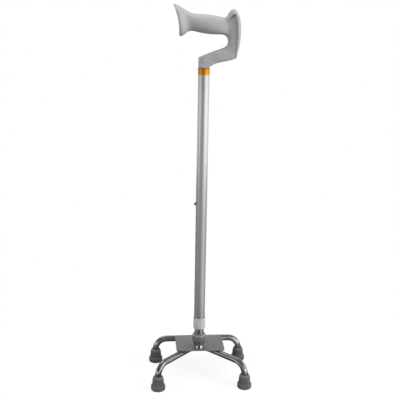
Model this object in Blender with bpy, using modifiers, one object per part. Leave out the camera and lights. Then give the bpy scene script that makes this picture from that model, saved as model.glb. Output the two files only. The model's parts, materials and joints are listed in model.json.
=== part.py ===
"""Quad cane: a palm handle on a telescoping shaft, standing in a bent-tube base with four feet.

Metres, +Z up, +X along the grip. The origin is on the floor, midway between the four feet.
"""

import math

import bmesh
import bpy
from mathutils import Vector

# Clearances
GAP = 0.0003
TURN_GAP = 0.0003
PIN_GAP = 0.0003

# Base: plan of the feet, and where the shaft stands among them
FRONT_FEET_SPAN = 0.174
REAR_FEET_SPAN = 0.179
FEET_DEPTH = 0.1228
SHAFT_X = -0.0015
SHAFT_Y = -0.003

# Leg tubes
LEG_OD = 0.0127
LEG_WALL = 0.0015
LEG_AXIS_Z = 0.0513
LEG_BEND = 0.023
FRONT_APEX_SETBACK = 0.034
FRONT_APEX_BEND = 0.030
BEND_STEP = math.radians(15)

# Rubber feet
FOOT_HEIGHT = 0.029
FOOT_FLANGE_OD = 0.0288
FOOT_FLANGE_HEIGHT = 0.0086
FOOT_NECK_OD = 0.0250
FOOT_TOP_OD = 0.0212
FOOT_SOLE = 0.008
FOOT_EDGE = 0.0012
DISC_THICKNESS = 0.0015

# Base plate
PLATE_WIDTH = 0.0995
PLATE_THICKNESS = 0.0025
PLATE_X = 0.0015
PLATE_FRONT_MARGIN = 0.0010
PLATE_REAR_LAP = 0.0028
PLATE_CORNER = 0.003
WELD_RADIUS = 0.0009
WELD_LENGTH = 0.030
WELD_STEP = 0.0025
WELD_RIPPLE = 0.2

# Telescoping tubes
OUTER_OD = 0.022
TUBE_WALL = 0.0012
OUTER_LENGTH = 0.5172
INNER_ABOVE_BUTTON = 0.026
GUIDE_CAP_HEIGHT = 0.003
GUIDE_CAP_EDGE = 0.001
GUIDE_STEM_LENGTH = 0.010

# Height setting: holes in the outer tube, one snap button in the inner tube
HOLE_COUNT = 7
HOLE_PITCH = 0.025
BUTTON_Z = 0.3681
BUTTON_OD = 0.0062
BUTTON_REACH = 0.0038
BUTTON_DOME = 0.0028
BUTTON_SHOULDER = 0.0012
BUTTON_SHOULDER_OD = 0.0082
SPRING_WIDTH = 0.0056
SPRING_THICKNESS = 0.0006
SPRING_LEG = 0.030

# Lock collar at the lower end of the outer tube
COLLAR_OD = 0.0246
COLLAR_HEIGHT = 0.0244
COLLAR_Z = 0.1038
COLLAR_BEVEL = 0.0015
COLLAR_TOP_EDGE = 0.0005
COLLAR_LIP = 0.0015
COLLAR_BUSH_HEIGHT = 0.0075

# Socket, nut and collet that hold the shaft in the base
STEM_TOP_Z = 0.085
STEM_WELD = 0.0006
NUT_RIM_Z = 0.0913
NUT_BOTTOM_Z = 0.0692
NUT_WAIST_Z = 0.0805
NUT_RIM_OD = 0.0274
NUT_BODY_OD = 0.0288
NUT_BOTTOM_OD = 0.0244
NUT_LIP = 0.0014
NUT_FLUTES = 10
NUT_FLUTE_RADIUS = 0.0024
NUT_FLUTE_FOOT_DEPTH = 0.0004
NUT_FLUTE_TOP_Z = 0.0792
NUT_FLUTE_LENGTH = 0.0165
COLLET_OD = 0.0252
COLLET_CONE = 0.0032
COLLET_TOP_WALL = 0.0005
SPLIT_WIDTH = 0.0012

# Bolt that holds the shaft down
BOLT_SHANK_OD = 0.006
BOLT_REACH = 0.014
BOLT_HEAD_ACROSS = 0.009
BOLT_HEAD_HEIGHT = 0.002
BOLT_WASHER_OD = 0.014
BOLT_WASHER_THICKNESS = 0.001
PLUG_LENGTH = 0.020
PLUG_FLANGE = 0.0015

# Ring, spigot and screw at the upper end of the outer tube
RING_HEIGHT = 0.0122
RING_WALL = 0.0005
RING_EDGE = 0.0002
SPIGOT_LENGTH = 0.060
SCREW_DROP = 0.0386
SCREW_HEAD_OD = 0.0032
SCREW_SHANK_OD = 0.0022
SCREW_LENGTH = 0.008
SCREW_HEAD_HEIGHT = 0.0006

# Handle: each station is the outer edge (x, z), the inner edge (x, z) and half the width at those
# two edges, all in HANDLE_UNIT from the shaft's axis and from the top of the outer tube, and how
# square the section is
HANDLE_UNIT = 0.001
FLARE_STATIONS = (
    ((-51.0, 104.0), (-45.0, 69.0), (12.0, 18.0), 2.2),
    ((-58.4, 112.8), (-48.4, 59.0), (16.5, 25.5), 2.2),
    ((-59.2, 116.6), (-46.2, 55.4), (17.5, 27.5), 2.2),
    ((-53.5, 116.0), (-40.6, 56.2), (16.5, 26.0), 2.2),
    ((-41.0, 108.8), (-35.4, 61.2), (14.5, 20.5), 2.2),
    ((-30.5, 102.6), (-30.0, 66.0), (13.8, 16.4), 2.2),
)
GRIP_STATIONS = (
    ((-20.0, 98.2), (-20.5, 66.6), (14.2, 15.0), 2.2),
    ((-8.0, 98.4), (-8.5, 63.2), (13.6, 16.4), 2.2),
    ((6.0, 98.0), (5.5, 61.4), (12.6, 18.8), 2.4),
    ((20.0, 95.8), (18.0, 60.6), (11.4, 21.0), 2.7),
    ((32.0, 93.8), (28.0, 61.0), (11.2, 21.4), 3.0),
)
WEB_STATIONS = (
    ((39.0, 91.6), (35.2, 60.8), (11.4, 19.0), 3.2),
    ((44.2, 98.6), (39.8, 58.8), (11.4, 13.4), 3.4),
    ((50.0, 106.0), (41.4, 56.6), (9.0, 12.6), 4.5),
    ((57.2, 105.0), (42.8, 54.2), (8.6, 12.2), 4.5),
    ((62.2, 88.0), (44.0, 51.4), (8.6, 12.0), 4.5),
    ((63.4, 62.0), (44.4, 48.2), (8.8, 12.0), 4.5),
    ((62.0, 40.0), (43.4, 43.6), (9.2, 12.0), 4.5),
    ((59.5, 24.0), (40.4, 39.8), (9.8, 12.0), 4.5),
)
WEB_TOP_STATIONS = (
    ((44.5, 93.0), (44.5, 80.0), (10.5, 11.5), 8.0),
    ((47.5, 100.0), (47.5, 76.0), (9.8, 11.4), 8.0),
    ((52.0, 105.5), (52.0, 74.0), (9.4, 11.0), 8.0),
    ((56.5, 105.0), (56.5, 72.0), (9.2, 10.2), 8.0),
    ((60.5, 96.0), (60.5, 70.0), (9.0, 9.2), 8.0),
    ((62.0, 84.0), (62.0, 70.0), (8.8, 9.0), 8.0),
)
ARM_STATIONS = (
    ((59.4, 16.8), (36.6, 37.8), (10.8, 12.0), 4.5),
    ((51.0, 14.9), (30.6, 35.6), (11.4, 12.0), 4.5),
    ((38.0, 11.8), (20.0, 31.4), (12.2, 12.2), 4.5),
    ((27.0, 9.9), (8.0, 26.8), (11.5, 11.5), 4.5),
    ((13.5, 5.0), (-2.0, 21.0), (10.0, 10.0), 4.5),
)
GUARD_STATIONS = (
    ((34.5, 86.5), (39.5, 80.5), (10.7, 14.5), 5.0),
    ((42.2, 94.0), (46.0, 91.0), (12.2, 16.5), 5.0),
    ((45.7, 102.0), (50.0, 95.2), (13.6, 18.4), 5.0),
    ((50.4, 107.2), (52.4, 97.0), (14.7, 19.8), 5.0),
    ((55.4, 108.4), (54.4, 97.0), (15.4, 20.8), 5.0),
    ((59.8, 102.4), (56.2, 95.0), (15.8, 21.4), 5.0),
    ((64.0, 94.0), (57.3, 91.8), (16.3, 22.0), 5.0),
    ((66.2, 84.6), (58.8, 83.8), (16.4, 22.2), 5.0),
    ((67.0, 72.0), (59.7, 71.8), (16.0, 21.6), 5.0),
    ((67.1, 58.6), (59.8, 59.0), (14.8, 20.0), 5.0),
    ((65.5, 43.6), (59.2, 44.6), (12.9, 17.4), 5.0),
    ((62.8, 30.4), (59.0, 31.2), (10.5, 14.2), 5.0),
    ((60.6, 19.2), (57.0, 20.4), (8.3, 11.2), 5.0),
    ((60.4, 17.6), (56.8, 18.6), (8.1, 11.0), 5.0),
)
FLARE_BOW = 5.0
FLARE_BOW_FADE = 3
RING_POINTS = 12

# Neck of the handle: round where it stands on the tube, in a block that runs into the arm. The
# block's upright edges are cut off, and its top and underside are cut along the arm's slopes.
NECK_STEP = 0.0005
NECK_ROUND_HEIGHT = 0.007
NECK_BLOCK_REACH = 0.026
NECK_BLOCK_TOP = 0.040
NECK_BLOCK_EDGE = 0.0022
NECK_CUT_LENGTH = 0.0086
NECK_CUT_DEPTH = 0.0058
NECK_TOP_SLOPE = 0.40
NECK_TOP_Z = 0.0234
NECK_UNDER_SLOPE = 0.60
NECK_UNDER_X = 0.0062

# Facets round each turned piece
TUBE_FACETS = 40
FOOT_FACETS = 32
SMALL_FACETS = 24
HOLE_FACETS = 16
FLUTE_FACETS = 12

# Sizes that follow from those above
LEG_RADIUS = LEG_OD / 2
OUTER_RADIUS = OUTER_OD / 2
OUTER_BORE = OUTER_RADIUS - TUBE_WALL
INNER_RADIUS = OUTER_BORE - GAP
INNER_BORE = INNER_RADIUS - TUBE_WALL
REAR_Y = FEET_DEPTH / 2
PLATE_BOTTOM = LEG_AXIS_Z + LEG_RADIUS + GAP
PLATE_TOP = PLATE_BOTTOM + PLATE_THICKNESS
STEM_BOTTOM = PLATE_TOP + GAP
SHAFT_BORE = INNER_RADIUS + TURN_GAP
COLLAR_BORE = OUTER_RADIUS + TURN_GAP
BUSH_Z = COLLAR_Z + COLLAR_LIP + GAP
OUTER_BOTTOM = BUSH_Z + COLLAR_BUSH_HEIGHT + GAP
OUTER_TOP = OUTER_BOTTOM + OUTER_LENGTH
PLUG_Z = PLATE_TOP + GAP
INNER_BOTTOM = PLUG_Z + PLUG_FLANGE + GAP
INNER_TOP = BUTTON_Z + INNER_ABOVE_BUTTON
COLLET_Z = STEM_TOP_Z + GAP
FOOT_BORE = LEG_RADIUS + GAP
LEG_END_Z = FOOT_SOLE + DISC_THICKNESS + 2 * GAP


def clear_scene():
    for old in list(bpy.data.objects):
        bpy.data.objects.remove(old, do_unlink=True)


def new_collection(name):
    collection = bpy.data.collections.new(name)
    bpy.context.scene.collection.children.link(collection)
    return collection


def new_material(name, colour, roughness, metallic):
    material = bpy.data.materials.new(name)
    material.use_nodes = True
    shader = material.node_tree.nodes["Principled BSDF"]
    shader.inputs["Base Color"].default_value = (*colour, 1.0)
    shader.inputs["Roughness"].default_value = roughness
    shader.inputs["Metallic"].default_value = metallic
    return material


clear_scene()
PARTS = new_collection("quad_cane")
CUTTERS = new_collection("cutters")

GREY_PLASTIC = new_material("grey_handle_plastic", (0.38, 0.38, 0.39), 0.45, 0.0)
PALE_PLASTIC = new_material("pale_collar_plastic", (0.62, 0.62, 0.62), 0.4, 0.0)
DARK_PLASTIC = new_material("dark_nut_plastic", (0.13, 0.13, 0.14), 0.4, 0.0)
WHITE_NYLON = new_material("white_nylon", (0.75, 0.75, 0.72), 0.5, 0.0)
SATIN_ALUMINIUM = new_material("satin_aluminium", (0.50, 0.49, 0.49), 0.35, 0.9)
ORANGE_ANODISED = new_material("orange_anodised", (0.75, 0.30, 0.03), 0.3, 0.8)
CHROME = new_material("chrome", (0.60, 0.60, 0.60), 0.12, 1.0)
GREY_STEEL = new_material("grey_steel", (0.30, 0.30, 0.31), 0.4, 0.8)
ZINC_STEEL = new_material("zinc_steel", (0.55, 0.55, 0.56), 0.35, 0.9)
SPRING_STEEL = new_material("spring_steel", (0.35, 0.36, 0.38), 0.3, 0.95)
BRASS = new_material("brass", (0.45, 0.36, 0.18), 0.35, 0.9)
DARK_RUBBER = new_material("dark_rubber", (0.07, 0.07, 0.08), 0.75, 0.0)


def new_axis(name, parent=None, location=(0, 0, 0)):
    """An empty on the axis that the pieces under it turn about or slide along."""
    axis = bpy.data.objects.new(name, None)
    axis.empty_display_size = 0.02
    axis.location = location
    axis.parent = parent
    PARTS.objects.link(axis)
    return axis


def new_piece(name, data, material, parent, location=(0, 0, 0)):
    piece = bpy.data.objects.new(name, data)
    piece.location = location
    piece.parent = parent
    data.materials.append(material)
    PARTS.objects.link(piece)
    return piece


def new_cutter(name, data, parent, location=(0, 0, 0), rotation=(0, 0, 0)):
    cutter = bpy.data.objects.new(name, data)
    cutter.location = location
    cutter.rotation_euler = rotation
    cutter.parent = parent
    cutter.hide_render = True
    cutter.display_type = "WIRE"
    CUTTERS.objects.link(cutter)
    return cutter


def mesh_of(name, shape, smooth=True):
    mesh = bpy.data.meshes.new(name)
    shape.to_mesh(mesh)
    shape.free()
    if smooth:
        mesh.shade_smooth()
        mesh.set_sharp_from_angle(angle=math.radians(35))
    return mesh


def combine(piece, other, operation):
    modifier = piece.modifiers.new(f"{operation.lower()}_{other.name}", "BOOLEAN")
    modifier.object = other
    modifier.operation = operation
    modifier.solver = "EXACT"


def turned(name, outline, material, parent, facets=TUBE_FACETS, ring=False):
    """A piece turned about Z. The outline is (radius, z) points down the outer side; a ring's
    outline closes on itself, and any other starts and ends on the axis."""
    mesh = bpy.data.meshes.new(name)
    edges = [(i, i + 1) for i in range(len(outline) - 1)]
    if ring:
        edges.append((len(outline) - 1, 0))
    mesh.from_pydata([(radius, 0, z) for radius, z in outline], edges, [])
    piece = new_piece(name, mesh, material, parent)
    screw = piece.modifiers.new("turn", "SCREW")
    screw.axis = "Z"
    screw.angle = math.tau
    screw.steps = facets
    screw.render_steps = facets
    screw.use_merge_vertices = True
    screw.merge_threshold = 0.00001
    screw.use_smooth_shade = True
    return piece


def tube_outline(radius, bore, bottom, top):
    return [(radius, top), (radius, bottom), (bore, bottom), (bore, top)]


def dome_points(radius, height, base, steps=4):
    """Outline of a dome from the axis out to its rim at z = base, rim included."""
    turns = [math.pi / 2 * i / steps for i in range(steps + 1)]
    return [(radius * math.sin(turn), base + height * math.cos(turn)) for turn in turns]


def cylinder_mesh(name, radius, length, facets=SMALL_FACETS, smooth=True):
    """A cylinder along +Z from its origin."""
    shape = bmesh.new()
    bmesh.ops.create_cone(
        shape, cap_ends=True, segments=facets, radius1=radius, radius2=radius, depth=length
    )
    bmesh.ops.translate(shape, verts=shape.verts, vec=(0, 0, length / 2))
    return mesh_of(name, shape, smooth)


def box_mesh(name, low, high):
    shape = bmesh.new()
    bmesh.ops.create_cube(shape, size=1.0)
    size = Vector(high) - Vector(low)
    bmesh.ops.scale(shape, verts=shape.verts, vec=size)
    bmesh.ops.translate(shape, verts=shape.verts, vec=(Vector(high) + Vector(low)) / 2)
    return mesh_of(name, shape, smooth=False)


def split_ring(piece, parent, radius, bottom, top):
    """Cuts a slot through one side of a ring, so that it can close on the tube inside it."""
    low = (0, -SPLIT_WIDTH / 2, bottom - GAP)
    high = (radius + GAP, SPLIT_WIDTH / 2, top + GAP)
    slot = new_cutter(f"{piece.name}_slot", box_mesh(f"{piece.name}_slot", low, high), parent)
    combine(piece, slot, "DIFFERENCE")


def arc(centre, start, end, radius):
    """Points round a bend about centre, from direction start to direction end, ends included."""
    start = Vector(start).normalized()
    end = Vector(end).normalized()
    turn = start.angle(end)
    steps = max(2, math.ceil(turn / BEND_STEP))
    side = (end - start * start.dot(end)).normalized()
    points = []
    for i in range(steps + 1):
        angle = turn * i / steps
        points.append(Vector(centre) + radius * (start * math.cos(angle) + side * math.sin(angle)))
    return points


def leg_end(foot, inward):
    """The route of a leg from its foot up to the level run, which leaves in direction inward."""
    up = Vector((0, 0, 1))
    bend_centre = Vector((foot[0], foot[1], LEG_AXIS_Z - LEG_BEND)) + inward * LEG_BEND
    return [Vector((foot[0], foot[1], LEG_END_Z)), *arc(bend_centre, -inward, up, LEG_BEND)]


def bent_tube(name, route, material, parent):
    """A hollow tube along the route, open at both ends."""
    curve = bpy.data.curves.new(name, "CURVE")
    curve.dimensions = "3D"
    curve.bevel_depth = LEG_RADIUS
    curve.bevel_resolution = 4
    curve.use_fill_caps = False
    spline = curve.splines.new("POLY")
    spline.points.add(len(route) - 1)
    for point, place in zip(spline.points, route):
        point.co = (*place, 1)
    piece = new_piece(name, curve, material, parent)
    wall = piece.modifiers.new("wall", "SOLIDIFY")
    wall.thickness = LEG_WALL
    wall.offset = -1
    return piece


def station_ring(station, bow=0, points=RING_POINTS):
    """A rounded section across the handle, through a station's outer and inner edges. Its sides
    are bowed along X."""
    (outer_x, outer_z), (inner_x, inner_z), half_widths, power = station
    middle = Vector((outer_x + inner_x, 0, outer_z + inner_z)) / 2
    reach = Vector((outer_x - inner_x, 0, outer_z - inner_z)) / 2
    ring = []
    for i in range(points):
        angle = math.tau * i / points
        along = math.copysign(abs(math.cos(angle)) ** (2 / power), math.cos(angle))
        across = math.copysign(abs(math.sin(angle)) ** (2 / power), math.sin(angle))
        half_width = half_widths[1] + (half_widths[0] - half_widths[1]) * (1 + along) / 2
        side = Vector((bow * across**2, half_width * across, 0))
        ring.append((middle + reach * along + side) * HANDLE_UNIT)
    return ring


def loft_mesh(name, stations, bows=()):
    """A closed skin through the stations, with an end face across the first and the last."""
    shape = bmesh.new()
    bows = [*bows, *[0] * (len(stations) - len(bows))]
    rings = [
        [shape.verts.new(point) for point in station_ring(station, bow)]
        for station, bow in zip(stations, bows)
    ]
    for first, second in zip(rings, rings[1:]):
        for i, corner in enumerate(first):
            after = (i + 1) % len(first)
            shape.faces.new((corner, first[after], second[after], second[i]))
    shape.faces.new(reversed(rings[0]))
    shape.faces.new(rings[-1])
    bmesh.ops.recalc_face_normals(shape, faces=shape.faces)
    return mesh_of(name, shape)


def neck_block_mesh(name):
    """The block of the neck: a box whose upright edges are cut off, longer along X than along Y, and
    whose top and underside are cut along the arm's slopes."""
    radius = OUTER_RADIUS - NECK_STEP
    stretch = NECK_CUT_DEPTH / NECK_CUT_LENGTH
    shape = bmesh.new()
    bmesh.ops.create_cube(shape, size=2.0)
    size = ((NECK_BLOCK_REACH + radius) / 2, radius / stretch, NECK_BLOCK_TOP)
    bmesh.ops.scale(shape, verts=shape.verts, vec=size)
    bmesh.ops.translate(shape, verts=shape.verts, vec=((NECK_BLOCK_REACH - radius) / 2, 0, 0))
    upright = [e for e in shape.edges if e.verts[0].co.z * e.verts[1].co.z < 0]
    bmesh.ops.bevel(shape, geom=upright, offset=NECK_CUT_LENGTH, segments=1, affect="EDGES")
    bmesh.ops.scale(shape, verts=shape.verts, vec=(1, stretch, 1))
    cut_off(shape, (0, 0, NECK_TOP_Z), (-NECK_TOP_SLOPE, 0, 1))
    cut_off(shape, (NECK_UNDER_X, 0, 0), (NECK_UNDER_SLOPE, 0, -1))
    cut_off(shape, (0, 0, NECK_STEP), (0, 0, -1))
    return mesh_of(name, shape, smooth=False)


def cut_off(shape, place, normal):
    """Cuts a solid along a plane, drops the side that the normal points to, and closes the cut."""
    whole = [*shape.verts, *shape.edges, *shape.faces]
    bmesh.ops.bisect_plane(shape, geom=whole, plane_co=place, plane_no=normal, clear_outer=True)
    bmesh.ops.holes_fill(shape, edges=[e for e in shape.edges if e.is_boundary])


def soften(piece):
    surface = piece.modifiers.new("soft_form", "SUBSURF")
    surface.levels = 1
    surface.render_levels = 1


def build_handle(upper):
    """The moulded handle: flare, grip, upright and arm in one skin, with the guard plate behind
    the hand, the neck and the spigot that fills the top of the outer tube."""
    top = OUTER_TOP + GAP
    stations = (*FLARE_STATIONS, *GRIP_STATIONS, *WEB_STATIONS, *ARM_STATIONS)
    count = len(FLARE_STATIONS)
    bows = [FLARE_BOW * min(1, (count - i) / FLARE_BOW_FADE) for i in range(count)]
    handle = new_piece("handle", loft_mesh("handle", stations, bows), GREY_PLASTIC, upper)
    handle.location = (0, 0, top)
    soften(handle)
    for name, added in (("guard", GUARD_STATIONS), ("web_top", WEB_TOP_STATIONS)):
        form = new_cutter(name, loft_mesh(name, added), upper, (0, 0, top))
        soften(form)
        combine(handle, form, "UNION")
    block = new_cutter("neck_block", neck_block_mesh("neck_block"), upper, (0, 0, top))
    edges = block.modifiers.new("edges", "BEVEL")
    edges.width = NECK_BLOCK_EDGE
    edges.segments = 3
    combine(handle, block, "UNION")
    neck_radius = OUTER_RADIUS - NECK_STEP
    neck = cylinder_mesh("neck", neck_radius, NECK_ROUND_HEIGHT, TUBE_FACETS)
    combine(handle, new_cutter("neck", neck, upper, (0, 0, top)), "UNION")
    spigot_radius = OUTER_BORE - GAP
    spigot = new_cutter(
        "spigot",
        cylinder_mesh("spigot", spigot_radius, SPIGOT_LENGTH + RING_HEIGHT / 2, TUBE_FACETS),
        upper,
        (0, 0, OUTER_TOP - SPIGOT_LENGTH),
    )
    combine(handle, spigot, "UNION")
    combine(handle, screw_hole("spigot_screw_hole", upper), "DIFFERENCE")
    return handle


def screw_hole(name, parent):
    hole = cylinder_mesh(name, SCREW_SHANK_OD / 2 + PIN_GAP, SCREW_LENGTH + OUTER_RADIUS)
    away = (0, -OUTER_RADIUS + SCREW_LENGTH + GAP, OUTER_TOP - SCREW_DROP)
    return new_cutter(name, hole, parent, away, (math.pi / 2, 0, 0))


def build_handle_screw(upper):
    """A small domed screw through the tube wall into the spigot, on the -Y side."""
    shank = SCREW_SHANK_OD / 2
    outline = [
        *dome_points(SCREW_HEAD_OD / 2, SCREW_HEAD_HEIGHT, 0, 3),
        (shank, 0),
        (shank, -SCREW_LENGTH),
        (0, -SCREW_LENGTH),
    ]
    screw = turned("handle_screw", outline, ZINC_STEEL, upper, SMALL_FACETS)
    screw.location = (0, -OUTER_RADIUS - PIN_GAP, OUTER_TOP - SCREW_DROP)
    screw.rotation_euler = (math.pi / 2, 0, 0)


def build_outer_tube(upper):
    outline = tube_outline(OUTER_RADIUS, OUTER_BORE, OUTER_BOTTOM, OUTER_TOP)
    tube = turned("outer_tube", outline, SATIN_ALUMINIUM, upper, ring=True)
    hole = cylinder_mesh("height_hole", BUTTON_OD / 2 + PIN_GAP, OUTER_OD, HOLE_FACETS)
    for i in range(HOLE_COUNT):
        place = (0, 0, BUTTON_Z - i * HOLE_PITCH)
        cutter = new_cutter(f"height_hole_{i + 1}", hole, upper, place, (0, -math.pi / 2, 0))
        combine(tube, cutter, "DIFFERENCE")
    combine(tube, screw_hole("tube_screw_hole", upper), "DIFFERENCE")


def build_orange_ring(upper):
    bore = OUTER_RADIUS + GAP
    top = OUTER_TOP
    bottom = top - RING_HEIGHT
    radius = bore + RING_WALL
    edge = RING_EDGE
    outline = [
        (radius - edge, top),
        (radius, top - edge),
        (radius, bottom + edge),
        (radius - edge, bottom),
        (bore, bottom),
        (bore, top),
    ]
    turned("orange_ring", outline, ORANGE_ANODISED, upper, ring=True)


def build_lock_collar(upper):
    """The collar that closes the split bush on the inner tube, and that bush."""
    radius = COLLAR_OD / 2
    top = COLLAR_Z + COLLAR_HEIGHT
    lip_top = COLLAR_Z + COLLAR_LIP
    outline = [
        (radius - COLLAR_TOP_EDGE, top),
        (radius, top - COLLAR_TOP_EDGE),
        (radius, COLLAR_Z + 2 * COLLAR_BEVEL),
        (radius - COLLAR_BEVEL, COLLAR_Z),
        (SHAFT_BORE, COLLAR_Z),
        (SHAFT_BORE, lip_top),
        (COLLAR_BORE, lip_top),
        (COLLAR_BORE, top),
    ]
    turned("lock_collar", outline, PALE_PLASTIC, new_axis("lock_axis", upper), ring=True)
    bush_top = BUSH_Z + COLLAR_BUSH_HEIGHT
    bush = turned(
        "collar_bush",
        tube_outline(OUTER_RADIUS, SHAFT_BORE, BUSH_Z, bush_top),
        WHITE_NYLON,
        upper,
        ring=True,
    )
    split_ring(bush, upper, OUTER_RADIUS, BUSH_Z, bush_top)


def build_inner_tube(shaft):
    outline = tube_outline(INNER_RADIUS, INNER_BORE, INNER_BOTTOM, INNER_TOP)
    tube = turned("inner_tube", outline, CHROME, shaft, ring=True)
    hole = cylinder_mesh("button_hole", BUTTON_OD / 2 + PIN_GAP, OUTER_OD, HOLE_FACETS)
    rotation = (0, -math.pi / 2, 0)
    cutter = new_cutter("button_hole", hole, shaft, (0, 0, BUTTON_Z), rotation)
    combine(tube, cutter, "DIFFERENCE")


def build_guide_bush(shaft):
    """The plastic cap that guides the inner tube's upper end inside the outer tube."""
    stem = INNER_BORE - GAP
    stem_bottom = INNER_TOP - GUIDE_STEM_LENGTH
    cap = INNER_TOP + GAP
    cap_top = cap + GUIDE_CAP_HEIGHT
    outline = [
        (0, cap_top),
        (INNER_RADIUS - GUIDE_CAP_EDGE, cap_top),
        (INNER_RADIUS, cap_top - GUIDE_CAP_EDGE),
        (INNER_RADIUS, cap),
        (stem, cap),
        (stem, stem_bottom),
        (0, stem_bottom),
    ]
    turned("guide_bush", outline, WHITE_NYLON, shaft)


def build_snap_button(shaft):
    """The button through both tubes' walls, and the leaf spring behind it."""
    axis = new_axis("button_axis", shaft, (0, 0, BUTTON_Z))
    radius = BUTTON_OD / 2
    shoulder = BUTTON_SHOULDER_OD / 2
    shoulder_top = math.sqrt(INNER_BORE**2 - shoulder**2) - GAP
    tip = OUTER_RADIUS + BUTTON_REACH
    outline = [
        *dome_points(radius, BUTTON_DOME, tip - BUTTON_DOME),
        (radius, shoulder_top),
        (shoulder, shoulder_top),
        (shoulder, shoulder_top - BUTTON_SHOULDER),
        (0, shoulder_top - BUTTON_SHOULDER),
    ]
    button = turned("snap_button", outline, BRASS, axis, SMALL_FACETS)
    button.rotation_euler = (0, -math.pi / 2, 0)
    front = -(shoulder_top - BUTTON_SHOULDER - GAP)
    back = math.sqrt(INNER_BORE**2 - (SPRING_WIDTH / 2) ** 2) - GAP
    build_spring(shaft, front, back)


def build_spring(shaft, front, back):
    """A hairpin of flat spring strip: one leg behind the button, the other on the far wall."""
    half = (back - front) / 2
    bend = half - SPRING_THICKNESS / 2
    middle = (back + front) / 2
    bottom = BUTTON_Z - SPRING_LEG
    route = [Vector((middle - bend, 0, BUTTON_Z + BUTTON_SHOULDER_OD / 2))]
    route += arc((middle, 0, bottom), (-1, 0, 0), (0, 0, -1), bend)
    route += arc((middle, 0, bottom), (0, 0, -1), (1, 0, 0), bend)[1:]
    route.append(Vector((middle + bend, 0, BUTTON_Z)))
    shape = bmesh.new()
    strips = []
    for side in (-1, 1):
        strips.append([shape.verts.new(p + Vector((0, side * SPRING_WIDTH / 2, 0))) for p in route])
    for i in range(len(route) - 1):
        shape.faces.new((strips[0][i], strips[1][i], strips[1][i + 1], strips[0][i + 1]))
    spring = new_piece("button_spring", mesh_of("button_spring", shape), SPRING_STEEL, shaft)
    strip = spring.modifiers.new("strip", "SOLIDIFY")
    strip.thickness = SPRING_THICKNESS
    strip.offset = 0


def build_shaft_plug(shaft):
    """The plug in the inner tube's lower end, bored for the bolt that holds the shaft down."""
    bore = BOLT_SHANK_OD / 2 + PIN_GAP
    plug = INNER_BORE - GAP
    top = PLUG_Z + PLUG_LENGTH
    flange = PLUG_Z + PLUG_FLANGE
    outline = [
        (plug, top),
        (plug, flange),
        (INNER_RADIUS, flange),
        (INNER_RADIUS, PLUG_Z),
        (bore, PLUG_Z),
        (bore, top),
    ]
    turned("shaft_plug", outline, WHITE_NYLON, shaft, ring=True)


def build_stem(base_axis):
    outline = tube_outline(OUTER_RADIUS, SHAFT_BORE, STEM_BOTTOM, STEM_TOP_Z)
    turned("stem", outline, CHROME, base_axis, ring=True)
    bead = OUTER_RADIUS + GAP
    round_side = [(bead + x, z) for x, z in dome_points(STEM_WELD, STEM_WELD, STEM_BOTTOM, 2)]
    outline = [*round_side, (bead, STEM_BOTTOM)]
    turned("stem_weld", outline, GREY_STEEL, base_axis, ring=True)


def build_hub_nut(base_axis):
    """The nut over the stem: a rimmed cup above, fluted where it narrows below."""
    nut_axis = new_axis("nut_axis", base_axis)
    bore = OUTER_RADIUS + TURN_GAP
    cup = COLLET_OD / 2 + TURN_GAP
    body = NUT_BODY_OD / 2
    foot = NUT_BOTTOM_OD / 2
    outline = [
        (NUT_RIM_OD / 2, NUT_RIM_Z),
        (NUT_RIM_OD / 2, NUT_RIM_Z - NUT_LIP),
        (body, NUT_RIM_Z - 2 * NUT_LIP),
        (body, NUT_WAIST_Z),
        (foot, NUT_BOTTOM_Z),
        (bore, NUT_BOTTOM_Z),
        (bore, STEM_TOP_Z),
        (cup, STEM_TOP_Z),
        (cup, NUT_RIM_Z),
    ]
    nut = turned("hub_nut", outline, DARK_PLASTIC, nut_axis, ring=True)
    shape = bmesh.new()
    bmesh.ops.create_uvsphere(
        shape, u_segments=FLUTE_FACETS, v_segments=FLUTE_FACETS, radius=1.0
    )
    size = (NUT_FLUTE_RADIUS, NUT_FLUTE_RADIUS, NUT_FLUTE_LENGTH / 2)
    bmesh.ops.scale(shape, verts=shape.verts, vec=size)
    flute = mesh_of("nut_flute", shape)
    reach = foot + NUT_FLUTE_RADIUS - NUT_FLUTE_FOOT_DEPTH
    middle = NUT_FLUTE_TOP_Z - NUT_FLUTE_LENGTH / 2
    for i in range(NUT_FLUTES):
        turn = math.tau * (i + 0.5) / NUT_FLUTES
        place = (reach * math.cos(turn), reach * math.sin(turn), middle)
        cutter = new_cutter(f"nut_flute_{i + 1}", flute, nut_axis, place, (0, 0, turn))
        combine(nut, cutter, "DIFFERENCE")


def build_hub_collet(base_axis):
    """The split collet on top of the stem, whose cone the nut closes on the inner tube."""
    radius = COLLET_OD / 2
    cone_top = NUT_RIM_Z + COLLET_CONE
    outline = [
        (SHAFT_BORE + COLLET_TOP_WALL, cone_top),
        (radius, NUT_RIM_Z),
        (radius, COLLET_Z),
        (SHAFT_BORE, COLLET_Z),
        (SHAFT_BORE, cone_top),
    ]
    collet = turned("hub_collet", outline, DARK_PLASTIC, base_axis, ring=True)
    split_ring(collet, base_axis, radius, COLLET_Z, cone_top)


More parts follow.
